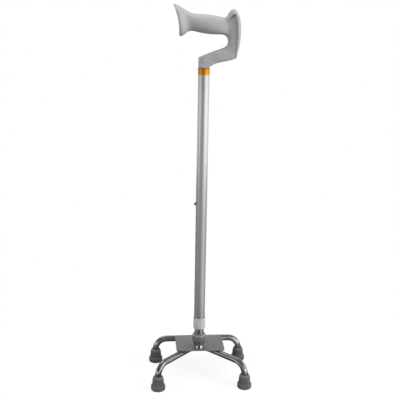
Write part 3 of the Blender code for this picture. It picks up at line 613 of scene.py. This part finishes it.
def object_of(name, shape):
    """A new object from a bmesh, which is freed."""
    mesh = bpy.data.meshes.new(name)
    shape.to_mesh(mesh)
    shape.free()
    return add(name, mesh)


def apply_all(piece):
    """Applies a piece's modifiers to its mesh."""
    graph = bpy.context.evaluated_depsgraph_get()
    mesh = bpy.data.meshes.new_from_object(piece.evaluated_get(graph))
    piece.modifiers.clear()
    old = piece.data
    piece.data = mesh
    bpy.data.meshes.remove(old)


def cut(piece, cutters, operation="DIFFERENCE"):
    """Applies Booleans with the cutters, and removes the cutters."""
    for cutter in cutters:
        modifier = piece.modifiers.new(cutter.name, "BOOLEAN")
        modifier.object = cutter
        modifier.operation = operation
        modifier.solver = "EXACT"
    apply_all(piece)
    for cutter in cutters:
        mesh = cutter.data
        bpy.data.objects.remove(cutter)
        bpy.data.meshes.remove(mesh)


def place(shape, size, middle, turn=0.0):
    """Scales a form, turns it about Z and moves it to its middle."""
    bmesh.ops.scale(shape, verts=shape.verts, vec=size)
    bmesh.ops.rotate(shape, verts=shape.verts, matrix=Matrix.Rotation(turn, 3, "Z"))
    bmesh.ops.translate(shape, verts=shape.verts, vec=middle)


def box(size, middle, turn=0.0):
    """A box of that size."""
    shape = bmesh.new()
    bmesh.ops.create_cube(shape, size=1.0)
    place(shape, size, middle, turn)
    return shape


def skin(shape, rings, closed=False):
    """Joins each ring to the next. A closed run ends on its first ring, any other has two caps."""
    pairs = list(zip(rings, rings[1:]))
    if closed:
        pairs.append((rings[-1], rings[0]))
    else:
        shape.faces.new(reversed(rings[0]))
        shape.faces.new(rings[-1])
    for first, second in pairs:
        for i, corner in enumerate(first):
            after = (i + 1) % len(first)
            shape.faces.new((corner, first[after], second[after], second[i]))
    bmesh.ops.recalc_face_normals(shape, faces=shape.faces)


def rounded(corners, steps):
    """The points of an outline, with each fillet drawn as an arc."""
    points = []
    for i, (r, z, *fillet) in enumerate(corners):
        here = Vector((r, z))
        if not any(fillet):
            points.append(here)
            continue
        back = (Vector(corners[i - 1][:2]) - here).normalized()
        ahead = (Vector(corners[(i + 1) % len(corners)][:2]) - here).normalized()
        half = back.angle(ahead) / 2
        reach = fillet[0] / tan(half)
        centre = here + (back + ahead).normalized() * (fillet[0] / sin(half))
        start = here + back * reach - centre
        end = here + ahead * reach - centre
        turn = start.angle_signed(end)
        for k in range(steps + 1):
            points.append(centre + Matrix.Rotation(-turn * k / steps, 2) @ start)
    return points


def dome(radius, rise, top, steps):
    """The outline of a domed end, from its top on the axis to its edge."""
    turns = [pi / 2 * i / steps for i in range(steps + 1)]
    return [(radius * sin(t), top - rise + rise * cos(t)) for t in turns]


def turned(name, corners, facets=96, centre=SHAFT, steps=5):
    """A piece turned about an upright line. Its corners, (radius, z) or (radius, z, fillet), run
    down the outer side. They start and end on the axis, or else make a ring."""
    shape = bmesh.new()
    turns = [tau * i / facets for i in range(facets)]
    rings = [
        [
            shape.verts.new((centre[0] + r * cos(t), centre[1] + r * sin(t), z))
            for t in (turns if r > 1e-7 else [0])
        ]
        for r, z in rounded(corners, steps)
    ]
    pairs = list(zip(rings, rings[1:]))
    if len(rings[0]) > 1:
        pairs.append((rings[-1], rings[0]))
    for upper, lower in pairs:
        for i in range(facets):
            j = (i + 1) % facets
            face = [upper[i % len(upper)], lower[i % len(lower)]]
            face += [lower[j % len(lower)], upper[j % len(upper)]]
            face = list(dict.fromkeys(face))
            if len(face) > 2:
                shape.faces.new(face)
    bmesh.ops.recalc_face_normals(shape, faces=shape.faces)
    return object_of(name, shape)


def lay(piece, axis, turn, middle):
    """Turns an upright piece onto its side, and moves it to its place."""
    piece.data.transform(Matrix.Translation(middle) @ Matrix.Rotation(turn, 4, axis))


def plain_tube(name, node, bore, inner_edge=BORE_EDGE, facets=96):
    """A straight tube as high and as wide as its node."""
    low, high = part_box(node)
    radius = radius_of(node)
    outer = [(radius, high.z, TUBE_EDGE), (radius, low.z, TUBE_EDGE)]
    inner = [(bore, low.z, inner_edge), (bore, high.z, inner_edge)]
    return turned(name, outer + inner, facets)


def arc(centre, start, end, radius):
    """Points round a bend about centre, from direction start to direction end."""
    turn = start.angle(end)
    steps = max(2, ceil(turn / BEND_STEP))
    side = (end - start * start.dot(end)).normalized()
    angles = [turn * i / steps for i in range(steps + 1)]
    return [centre + radius * (start * cos(a) + side * sin(a)) for a in angles]


def swept(name, route, radius, sides=40):
    """A round tube along the route, its ends closed flat."""
    shape = bmesh.new()
    rings = []
    tangent = (route[1] - route[0]).normalized()
    side = tangent.orthogonal().normalized()
    for i, point in enumerate(route):
        before = route[max(i - 1, 0)]
        after = route[min(i + 1, len(route) - 1)]
        ahead = (after - before).normalized()
        side = (side - ahead * side.dot(ahead)).normalized()
        other = ahead.cross(side)
        turns = [tau * k / sides for k in range(sides)]
        rings.append([
            shape.verts.new(point + radius * (side * cos(t) + other * sin(t)))
            for t in turns
        ])
    skin(shape, rings)
    return object_of(name, shape)


def radial_normals(piece):
    """Gives the upright round walls normals that point straight to or from the axis."""
    mesh = piece.data
    level = Vector((1, 1, 0))
    normals = [corner.vector.copy() for corner in mesh.corner_normals]
    for face in mesh.polygons:
        facing = face.normal.dot(((face.center - SHAFT) * level).normalized())
        if abs(face.normal.z) > 0.02 or abs(facing) < 0.995:
            continue
        for corner in face.loop_indices:
            point = mesh.vertices[mesh.loops[corner].vertex_index].co
            normals[corner] = ((point - SHAFT) * level).normalized() * copysign(1, facing)
    mesh.normals_split_custom_set(normals)


def hole_cutter(z, surface):
    """A hole through the -X wall at height z, flared where it meets the outer surface."""
    reach = surface + HOLE_CUTTER_SPARE
    mouth = HOLE_RADIUS + HOLE_CHAMFER
    throat = surface - 2 * HOLE_CHAMFER
    outline = [
        (0, reach), (mouth, reach), (mouth, surface), (HOLE_RADIUS, throat),
        (HOLE_RADIUS, HOLE_CUTTER_FOOT), (0, HOLE_CUTTER_FOOT),
    ]
    cutter = turned("hole", outline, 40, (0, 0))
    lay(cutter, "Y", -pi / 2, (SHAFT.x, SHAFT.y, z))
    return cutter


def build_shaft_tube(name, node, material, holes, facets):
    """One of the shaft's tubes, with holes at those heights."""
    radius = radius_of(node)
    tube = plain_tube(name, node, radius - TUBE_WALL, facets=facets)
    cut(tube, [hole_cutter(z, radius) for z in holes])
    dress(tube, node, material)
    radial_normals(tube)


def build_ring(material):
    """The ring, with a groove turned under its top edge."""
    low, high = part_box("orange_ring")
    radius = radius_of("outer_tube") + 0.0004
    bore = radius_of("outer_tube") + 0.0001
    floor = radius - 0.00015
    mid = (low.z + high.z) / 2
    groove = ((radius, 0.0046), (floor, 0.0044), (floor, 0.0040), (radius, 0.0038))
    corners = [
        (radius, high.z, TUBE_EDGE),
        *[(r, mid + rise, 0) for r, rise in groove],
        (radius, low.z, TUBE_EDGE),
        (bore, low.z),
        (bore, high.z),
    ]
    dress(turned("orange_trim_ring", corners), "orange_ring", material)


def build_collar(material):
    """The collar: a fine groove under its top edge, and a foot that tapers in."""
    low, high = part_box("lock_collar")
    radius = radius_of("lock_collar")
    bore = radius_of("outer_tube") + 0.00012
    throat = radius_of("inner_tube") + SEAT_GAP
    lip = low.z + 0.0015
    groove_z = high.z - 0.0046
    corners = [
        (radius - 0.0002, high.z, 0.0004),
        (radius - 0.0002, groove_z + 0.0005, 0.0001),
        (radius - 0.0005, groove_z + 0.0002),
        (radius - 0.0005, groove_z - 0.0002),
        (radius, groove_z - 0.0005, 0.0001),
        (radius, low.z + 0.0034, 0.0015),
        (radius - 0.0018, low.z, 0.0004),
        (throat, low.z, 0.0002),
        (throat, lip),
        (bore, lip),
        (bore, high.z, 0.0002),
    ]
    dress(turned("pale_lock_collar", corners), "lock_collar", material)


def build_nut(material):
    """The nut: a rim, a body, and flutes that run out at the top as pointed arches."""
    low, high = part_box("hub_nut")
    bore = radius_of("stem") + TURNING_GAP
    cup = radius_of("hub_collet") + TURNING_GAP
    stem_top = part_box("stem")[1].z
    corners = [
        (NUT_RIM, high.z, 0.0011),
        (NUT_RIM, high.z - 0.0016, 0.0002),
        (NUT_RIM - 0.0004, high.z - 0.0019),
        (radius_of("hub_nut"), high.z - 0.0034, 0.0012),
        (radius_of("hub_nut"), NUT_WAIST_Z, 0.004),
        (NUT_FOOT, low.z, 0.0005),
        (bore, low.z, 0.0002),
        (bore, stem_top),
        (cup, stem_top),
        (cup, high.z, 0.0003),
    ]
    nut = turned("fluted_hub_nut", corners, facets=120, steps=6)
    flutes = []
    reach = NUT_FOOT + NUT_FLUTE_RADIUS - NUT_FLUTE_FOOT_DEPTH
    size = (NUT_FLUTE_RADIUS, NUT_FLUTE_RADIUS, NUT_FLUTE_HALF)
    for i in range(NUT_FLUTES):
        turn = tau * (i + 0.5) / NUT_FLUTES
        shape = bmesh.new()
        bmesh.ops.create_uvsphere(shape, u_segments=28, v_segments=24, radius=1.0)
        middle = (reach * cos(turn), reach * sin(turn), NUT_FLUTE_TOP_Z - NUT_FLUTE_HALF)
        place(shape, size, Vector(middle) + SHAFT_FOOT)
        flutes.append(object_of("flute", shape))
    cut(nut, flutes)
    dress(nut, "hub_nut", material, smooth_angle=28)


def build_collet(material):
    """The collet's cone over the nut's rim, split on one side."""
    low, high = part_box("hub_collet")
    radius = radius_of("hub_collet")
    bore = radius_of("inner_tube") + TURNING_GAP
    corners = [
        (bore + 0.0006, high.z, 0.0002),
        (radius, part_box("hub_nut")[1].z, 0.0003),
        (radius, low.z, 0.0003),
        (bore, low.z),
        (bore, high.z, 0.0001),
    ]
    collet = turned("hub_collet_cone", corners)
    slot = (radius + 0.001, COLLET_SLOT, 0.02)
    middle = (SHAFT.x + slot[0] / 2, SHAFT.y, (low.z + high.z) / 2)
    cut(collet, [object_of("slot", box(slot, middle))])
    dress(collet, "hub_collet", material)


def build_stem_weld(material):
    """The bead round the stem's foot, rippled as it was laid."""
    low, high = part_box("stem_weld")
    radius = radius_of("stem")
    reach = radius_of("stem_weld") - radius
    height = high.z - low.z
    facets = 240
    leans = [pi / 2 * k / 4 for k in range(5)]
    shape = bmesh.new()
    rings = []
    for turn in [tau * i / facets for i in range(facets)]:
        swell = 1 - 0.28 * (0.5 + 0.5 * cos(STEM_WELD_RIPPLES * turn))
        section = [(reach * swell * cos(t), height * swell * sin(t)) for t in leans]
        ring = [(radius, low.z), *[(radius + out, low.z + up) for out, up in section]]
        x, y = cos(turn), sin(turn)
        rings.append([shape.verts.new((SHAFT.x + r * x, SHAFT.y + r * y, z)) for r, z in ring])
    skin(shape, rings, closed=True)
    dress(object_of("stem_weld_bead", shape), "stem_weld", material, WELD_SMOOTH)


def build_plate(material):
    """The plate: round upright corners, softened edges and the bolt's hole."""
    low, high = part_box("base_plate")
    shape = box(high - low, (high + low) / 2)
    upright = [e for e in shape.edges if abs(e.verts[0].co.z - e.verts[1].co.z) > 0.001]
    bevel = {"affect": "EDGES", "profile": 0.5}
    bmesh.ops.bevel(shape, geom=upright, offset=PLATE_CORNER, segments=8, **bevel)
    level = [e for e in shape.edges if e.is_manifold and e.calc_face_angle(0) > 1.0]
    bmesh.ops.bevel(shape, geom=level, offset=PLATE_EDGE, segments=3, **bevel)
    plate = object_of("steel_base_plate", shape)
    outline = [(0, 0.1), (BOLT_HOLE, 0.1), (BOLT_HOLE, -0.1), (0, -0.1)]
    cut(plate, [turned("bolt_hole", outline, 48)])
    dress(plate, "base_plate", material)


def build_plate_weld(material):
    """The bead along the plate's back edge."""
    low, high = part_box("plate_weld")
    radius = (high.y - low.y) / 2
    middle = (low + high) / 2
    steps = 120
    turns = [tau * k / 14 for k in range(14)]
    flatness = 0.9
    shape = bmesh.new()
    rings = []
    for i in range(steps + 1):
        share = i / steps
        x = low.x + (high.x - low.x) * share
        end = min(1, 12 * min(share, 1 - share) + 0.25)
        swell = radius * end**0.5 * (0.86 + 0.12 * cos(tau * share * PLATE_WELD_RIPPLES))
        section = [(swell * cos(t), swell * flatness * sin(t)) for t in turns]
        rings.append([shape.verts.new((x, middle.y + y, middle.z + z)) for y, z in section])
    skin(shape, rings)
    dress(object_of("plate_weld_bead", shape), "plate_weld", material, WELD_SMOOTH)


def leg_end(corner, inward):
    """The route of a leg from its foot up and round to its level run. Corner is where the two
    would meet without the bend."""
    up = Vector((0, 0, 1))
    centre = corner + (inward - up) * LEG_BEND
    return [Vector((corner.x, corner.y, LEG_END_Z)), *arc(centre, -inward, up, LEG_BEND)]


def build_legs(material):
    radius = radius_of("rear_leg_tube")
    axis_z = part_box("rear_leg_tube")[1].z - radius
    feet = [middle_of(f"foot_{corner}") for corner in FOOT_CORNERS]
    corners = [Vector((foot.x, foot.y, axis_z)) for foot in feet]
    right = Vector((1, 0, 0))
    rear = [*leg_end(corners[2], right), *reversed(leg_end(corners[3], -right))]

    apex = Vector((0, SHAFT.y + FRONT_APEX_SETBACK, axis_z))
    arms = [(apex - corner).normalized() for corner in corners[:2]]
    half_turn = arms[0].angle(-arms[1]) / 2
    centre = apex - Vector((0, FRONT_APEX_BEND / cos(half_turn), 0))
    outward = [Vector((side * sin(half_turn), cos(half_turn), 0)) for side in (-1, 1)]
    front = [
        *leg_end(corners[0], arms[0]),
        *arc(centre, outward[0], outward[1], FRONT_APEX_BEND),
        *reversed(leg_end(corners[1], arms[1])),
    ]
    for node, route in (("rear_leg_tube", rear), ("front_leg_tube", front)):
        dress(swept(f"chromed_{node}", route, radius), node, material, 50)


def build_feet(material):
    """The feet: socket, tapered neck, step, rounded flange, and rings cut in the sole."""
    corners = [
        (0, 0.0083),
        (0.0066, 0.0083),
        (0.0066, 0.0286, 0.0003),
        (0.0084, 0.0290, 0.0007),
        (0.0108, 0.0246, 0.0016),
        (0.0120, 0.0118, 0.001),
        (0.0124, 0.0106, 0.0006),
        (0.0141, 0.0092, 0.0012),
        (0.0144, 0.0072, 0.001),
        (0.0144, 0, 0.0022),
    ]
    for r in SOLE_GROOVES:
        corners += [
            (r + 0.0006, 0, 0.0002),
            (r + 0.0003, SOLE_GROOVE_DEPTH),
            (r - 0.0003, SOLE_GROOVE_DEPTH),
            (r - 0.0006, 0, 0.0002),
        ]
    corners.append((0, 0))
    for corner in FOOT_CORNERS:
        node = f"foot_{corner}"
        middle = middle_of(node)
        foot = turned(f"rubber_{node}", corners, 80, middle, steps=4)
        dress(foot, node, material, 40)


def build_button(material):
    """The button's dome, its stalk and the shoulder inside the tube."""
    low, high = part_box("snap_button")
    heel = SHAFT.x - high.x
    shoulder = (high.z - low.z) / 2
    outline = [
        *dome(BUTTON_RADIUS, BUTTON_DOME, SHAFT.x - low.x, 14),
        (BUTTON_RADIUS, heel + BUTTON_SHOULDER),
        (shoulder - BUTTON_EDGE, heel + BUTTON_SHOULDER),
        (shoulder, heel + BUTTON_SHOULDER - BUTTON_EDGE),
        (shoulder, heel + BUTTON_EDGE),
        (shoulder - BUTTON_EDGE, heel),
        (0, heel),
    ]
    button = turned("domed_snap_button", outline, 64, (0, 0))
    lay(button, "Y", -pi / 2, (SHAFT.x, SHAFT.y, (low.z + high.z) / 2))
    dress(button, "snap_button", material)


def build_spring(material):
    """The hairpin strip behind the button: its front leg ends at the button, and its back leg lies
    at the tube's wall."""
    low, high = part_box("button_spring")
    half = SPRING_STRIP / 2
    bend = (high.x - low.x) / 2 - half
    middle = (low.x + high.x) / 2
    bend_z = low.z + bend + half
    button_z = middle_of("snap_button").z
    route = [(-1, 0, middle - bend, high.z)]
    for i in range(SPRING_STEPS + 1):
        turn = pi * (1 + i / SPRING_STEPS)
        out_x, out_z = cos(turn), sin(turn)
        route.append((out_x, out_z, middle + bend * out_x, bend_z + bend * out_z))
    route.append((1, 0, middle + bend, button_z))
    edges = ((half, low.y), (half, high.y), (-half, high.y), (-half, low.y))
    shape = bmesh.new()
    rings = [
        [shape.verts.new((x + out_x * reach, y, z + out_z * reach)) for reach, y in edges]
        for out_x, out_z, x, z in route
    ]
    skin(shape, rings)
    spring = object_of("hairpin_button_spring", shape)
    coat(spring, material)
    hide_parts("button_spring")
    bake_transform(spring)


def build_screw(material):
    """The small screw in the tube's front, with a cross recess in its domed head."""
    low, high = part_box("handle_screw")
    length = high.y - low.y
    rise = 0.0006
    shank = 0.0011
    outline = [
        *dome((high.z - low.z) / 2, rise, length, 8), (shank, length - rise), (shank, 0), (0, 0)
    ]
    screw = turned("handle_fixing_screw", outline, 48, (0, 0))
    slot = (0.0019, 0.0004, 0.0009)
    recess = [box(slot, (0, 0, length), turn) for turn in (0, pi / 2)]
    cut(screw, [object_of("recess", shape) for shape in recess])
    lay(screw, "X", pi / 2, (SHAFT.x, high.y, (low.z + high.z) / 2))
    dress(screw, "handle_screw", material)


def build_bolt(material):
    """The hexagon bolt under the plate, its corners chamfered."""
    low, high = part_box("shaft_bolt")
    across = (high.x - low.x) / 2
    corner = across / cos(pi / 6)
    foot = low.z + BOLT_HEAD_HEIGHT / 2
    shank = [(0, high.z), (BOLT_RADIUS, high.z, 0.0005), (BOLT_RADIUS, foot), (0, foot)]
    over = low.z + BOLT_HEAD_HEIGHT + 0.001
    wide = corner + 0.001
    chamfer = [(0, over), (wide, over), (wide, low.z + 0.0008), (across, low.z), (0, low.z)]
    shape = bmesh.new()
    cone = {"radius1": corner, "radius2": corner, "depth": BOLT_HEAD_HEIGHT}
    bmesh.ops.create_cone(shape, cap_ends=True, segments=6, **cone)
    middle = (SHAFT.x, SHAFT.y, low.z + BOLT_HEAD_HEIGHT / 2)
    place(shape, (1, 1, 1), middle, pi / 6)
    bolt = object_of("hexagon_bolt", shape)
    cut(bolt, [turned("bolt_chamfer", chamfer, 48)], "INTERSECT")
    cut(bolt, [turned("bolt_shank", shank, 48)], "UNION")
    dress(bolt, "shaft_bolt", material)


def station_ring(station, points, bow):
    """A rounded section across the handle, through a station's outer and inner edges. Its sides
    are bowed along X."""
    (outer_x, outer_z), (inner_x, inner_z), half_widths, power = station
    middle = Vector((outer_x + inner_x, 0, outer_z + inner_z)) / 2
    reach = Vector((outer_x - inner_x, 0, outer_z - inner_z)) / 2
    ring = []
    for i in range(points):
        angle = tau * i / points
        cosine, sine = cos(angle), sin(angle)
        along = copysign(abs(cosine) ** (2 / power), cosine)
        across = copysign(abs(sine) ** (2 / power), sine)
        half_width = half_widths[1] + (half_widths[0] - half_widths[1]) * (1 + along) / 2
        side = Vector((bow * across**2, half_width * across, 0))
        ring.append((middle + reach * along + side) * HANDLE_UNIT)
    return ring


def loft(name, stations, points=RING_POINTS, bows=()):
    """A closed, smoothed skin through the stations."""
    shape = bmesh.new()
    bows = [*bows, *[0] * (len(stations) - len(bows))]
    rings = [
        [shape.verts.new(point) for point in station_ring(station, points, bow)]
        for station, bow in zip(stations, bows)
    ]
    skin(shape, rings)
    piece = object_of(name, shape)
    piece.modifiers.new("soft_form", "SUBSURF").levels = 3
    apply_all(piece)
    return piece


def cut_off(shape, place, normal):
    """Cuts a solid along a plane, drops the side that the normal points to, and closes it."""
    whole = [*shape.verts, *shape.edges, *shape.faces]
    bmesh.ops.bisect_plane(shape, geom=whole, plane_co=place, plane_no=normal, clear_outer=True)
    bmesh.ops.holes_fill(shape, edges=[e for e in shape.edges if e.is_boundary])


def neck_block():
    """The block of the neck: its upright edges are cut off, longer along X than along Y, and its
    top and underside are cut along the arm's slopes."""
    stretch = NECK_CUT_DEPTH / NECK_CUT_LENGTH
    size = (NECK_BLOCK_REACH + NECK_RADIUS, 2 * NECK_RADIUS / stretch, 2 * NECK_BLOCK_TOP)
    shape = box(size, ((NECK_BLOCK_REACH - NECK_RADIUS) / 2, 0, 0))
    upright = [e for e in shape.edges if e.verts[0].co.z * e.verts[1].co.z < 0]
    bmesh.ops.bevel(shape, geom=upright, offset=NECK_CUT_LENGTH, segments=1, affect="EDGES")
    bmesh.ops.scale(shape, verts=shape.verts, vec=(1, stretch, 1))
    cut_off(shape, (0, 0, NECK_TOP_Z), (-NECK_TOP_SLOPE, 0, 1))
    cut_off(shape, (NECK_UNDER_X, 0, 0), (NECK_UNDER_SLOPE, 0, -1))
    cut_off(shape, (0, 0, NECK_STEP), (0, 0, -1))
    block = object_of("neck_block", shape)
    edges = block.modifiers.new("edges", "BEVEL")
    edges.width = NECK_BLOCK_EDGE
    edges.segments = 4
    return block


def relax(mesh, rounds):
    """Moves each point half way to the middle of its neighbours, that many times."""
    count = len(mesh.vertices)
    points = np.empty(count * 3)
    mesh.vertices.foreach_get("co", points)
    points = points.reshape(-1, 3)
    edges = np.empty(len(mesh.edges) * 2, int)
    mesh.edges.foreach_get("vertices", edges)
    first, second = edges.reshape(-1, 2).T
    degree = np.bincount(first, minlength=count) + np.bincount(second, minlength=count)
    for _ in range(rounds):
        total = np.zeros_like(points)
        np.add.at(total, first, points[second])
        np.add.at(total, second, points[first])
        points += 0.5 * (total / degree[:, None] - points)
    mesh.vertices.foreach_set("co", points.ravel())
    mesh.update()


def build_handle(material):
    """The handle: the hand's skin, the guard behind it and the neck, melted into one moulding whose
    neck ends flat on the tube."""
    stations = (*FLARE_STATIONS, *GRIP_STATIONS, *WEB_STATIONS, *ARM_STATIONS)
    count = len(FLARE_STATIONS)
    bows = [FLARE_BOW * min(1, (count - i) / FLARE_BOW_FADE) for i in range(count)]
    handle = loft("moulded_palm_handle", stations, bows=bows)
    neck = [(0, NECK_ROUND_HEIGHT), (NECK_RADIUS, NECK_ROUND_HEIGHT)]
    neck += [(NECK_RADIUS, -HANDLE_SPARE), (0, -HANDLE_SPARE)]
    added = [
        loft("guard", GUARD_STATIONS, GUARD_POINTS),
        loft("web_top", WEB_TOP_STATIONS),
        neck_block(),
        turned("neck", neck, 96, (0, 0)),
    ]
    cut(handle, added, "UNION")
    remesh = handle.modifiers.new("melt", "REMESH")
    remesh.mode = "VOXEL"
    remesh.voxel_size = HANDLE_VOXEL
    apply_all(handle)
    relax(handle.data, HANDLE_RELAX)
    shape = bmesh.new()
    shape.from_mesh(handle.data)
    cut_off(shape, (0, 0, 0), (0, 0, -1))
    top = SHAFT_FOOT + Vector((0, 0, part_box("outer_tube")[1].z + HANDLE_GAP))
    bmesh.ops.translate(shape, verts=shape.verts, vec=top)
    shape.to_mesh(handle.data)
    shape.free()
    dress(handle, "handle", material, smooth_angle=50)


def paint_inner_nodes(nylon, zinc):
    """The pieces inside keep their own shape and get their finish."""
    finishes = dict.fromkeys(("guide_bush", "collar_bush", "shaft_plug"), nylon)
    finishes.update(dict.fromkeys([f"foot_disc_{corner}" for corner in FOOT_CORNERS], zinc))
    for node, material in finishes.items():
        mesh = frame["nodes"][node].data
        mesh.materials.clear()
        mesh.materials.append(material)


def build_pieces():
    chrome = bright_chrome("dark_bright_chrome", (0.58, 0.58, 0.585), 0.06)
    # Painted shade: the legs get a darker copy of the chrome, for the darker reflections on them
    shaded_leg_chrome = bright_chrome("shaded_leg_tube_chrome", (0.40, 0.40, 0.40), 0.08)
    weld = weld_steel()
    dark = dark_plastic()
    zinc = zinc_steel()
    button_z = middle_of("snap_button").z
    holes = [button_z - i * HOLE_PITCH for i in range(HOLE_COUNT)]
    build_shaft_tube("satin_outer_tube", "outer_tube", satin_aluminium(), holes, 112)
    build_shaft_tube("chromed_inner_tube", "inner_tube", chrome, [button_z], 96)
    build_ring(orange_anodised())
    build_collar(pale_plastic())
    build_nut(dark)
    build_collet(dark)
    stem = plain_tube("chromed_stem", "stem", radius_of("inner_tube") + SEAT_GAP)
    dress(stem, "stem", chrome)
    build_stem_weld(weld)
    build_plate(dull_steel())
    build_plate_weld(weld)
    build_legs(shaded_leg_chrome)
    build_feet(foot_rubber())
    build_button(dull_brass())
    build_spring(spring_strip())
    build_screw(zinc)
    build_bolt(zinc)
    washer = plain_tube("bolt_washer_ring", "bolt_washer", BOLT_HOLE, inner_edge=0)
    dress(washer, "bolt_washer", zinc)
    build_handle(moulded_grey())
    paint_inner_nodes(white_nylon(), zinc)


def build_camera():
    data = bpy.data.cameras.new("camera")
    data.lens = CAMERA_LENS
    camera = add("camera", data)
    yaw = Matrix.Rotation(CAMERA_YAW, 3, "Z")
    place = CAMERA_FOOT + yaw @ Vector((0, -CAMERA_DISTANCE, CAMERA_HEIGHT))
    target = CAMERA_FOOT + yaw @ Vector((AIM_SIDE, 0, AIM_HEIGHT))
    back = (place - target).normalized()
    right = Vector((0, 0, 1)).cross(back).normalized()
    level = Matrix((right, back.cross(right), back)).transposed()
    turn = level @ Matrix.Rotation(CAMERA_ROLL, 3, "Z")
    camera.matrix_world = Matrix.Translation(place) @ turn.to_4x4()
    bpy.context.scene.camera = camera


def build_lamp(name, corner, width, height, power):
    """A soft box at that place, aimed at the shaft. Metal doesn't show it."""
    data = bpy.data.lights.new(name, "AREA")
    data.shape = "RECTANGLE"
    data.size = width
    data.size_y = height
    data.energy = power
    lamp = add(name, data)
    lamp.location = corner
    aim = Vector((SHAFT.x, SHAFT.y, LAMP_AIM_Z)) - lamp.location
    lamp.rotation_euler = aim.to_track_quat("-Z", "Y").to_euler()
    lamp.visible_glossy = False


def build_world():
    """A white room, seen as white by the camera and in metal, that lights at a plain level."""
    world = bpy.data.worlds.new("white_room")
    world.use_nodes = True
    room = Nodes(world.node_tree)
    back = room.tree.nodes["Background"]
    room.join(back.inputs["Color"], WHITE)
    room.join(back.inputs["Strength"], WORLD_LEVEL + (1 - WORLD_LEVEL) * room.seen())
    bpy.context.scene.world = world


def painted_card(name, rows, paint):
    """A round card that glows only in reflections: a painted reflection, in greys that change with
    the azimuth. Its two rows are the (distance, height) of its edges; the paint is (azimuth, level)
    stops."""
    shape = bmesh.new()
    steps = 96
    turns = [tau * (i / steps - 0.5) for i in range(steps + 1)]
    low, high = [
        [shape.verts.new((reach * sin(t), -reach * cos(t), height)) for t in turns]
        for reach, height in rows
    ]
    for i in range(steps):
        shape.faces.new((low[i], low[i + 1], high[i + 1], high[i]))
    card = object_of(name, shape)
    finish = Finish(name)
    azimuth = finish.split("X").azimuth(0 - finish.split("Y"))
    stops = [(0.5 + degrees / 360, level / CARD_PEAK) for degrees, level in paint]
    tone = finish.ramp(0.5 + azimuth / tau, *stops)
    finish.surface(finish.node("Emission", {}, {"Color": tone, "Strength": CARD_PEAK}))
    card.data.materials.append(finish.material)
    for ray in ("camera", "diffuse", "shadow", "transmission"):
        setattr(card, f"visible_{ray}", False)


def build_floor():
    """A pale floor as wide as the room, which fades to the room's white away from the cane."""
    half = 9
    fade_reach = 0.8
    shape = bmesh.new()
    bmesh.ops.create_grid(shape, x_segments=1, y_segments=1, size=half)
    floor = object_of("pale_floor", shape)
    finish = Finish("pale_floor_paint")
    cloud = finish.noise(3, detail=4)
    pale = finish.mix(cloud, (0.90, 0.90, 0.90), (0.93, 0.93, 0.93))
    # To bounced light the floor is dark grey, so the undersides of the pieces stay in shade
    finish.feed("Base Color", finish.mix(finish.ray("Diffuse"), pale, (0.30, 0.30, 0.30)))
    finish.feed("Roughness", 0.7 + 0.1 * cloud)
    glow = finish.node("Emission", {}, {"Color": WHITE})
    away = finish.radius((0, 0)) / fade_reach
    fade = finish.ramp(away, (0, 0.86), (0.25, 0.88), (0.75, 1))
    paint = Value(finish, finish.shader.outputs[0])
    finish.surface(finish.node("MixShader", {}, (finish.seen() * fade, paint, glow)))
    floor.data.materials.append(finish.material)


def build_stage():
    build_floor()
    build_world()
    for lamp in LAMPS:
        build_lamp(*lamp)
    split = (ROOM_RADIUS, WALL_SPLIT_Z)
    top = (ROOM_RADIUS, ROOM_HEIGHT)
    painted_card("wall_paint", ((ROOM_RADIUS, WALL_FOOT_Z), split), WALL_PAINT)
    painted_card("upper_wall_paint", (split, top), UPPER_WALL_PAINT)
    painted_card("ceiling_paint", (top, (CEILING_HOLE, ROOM_HEIGHT)), CEILING_PAINT)
    for name, inner, outer, paint in FLOOR_RINGS:
        painted_card(name, ((inner, FLOOR_RING_Z), (outer, FLOOR_RING_Z)), paint)


build_pieces()
build_camera()
build_stage()
bpy.context.scene.view_settings.view_transform = "Standard"
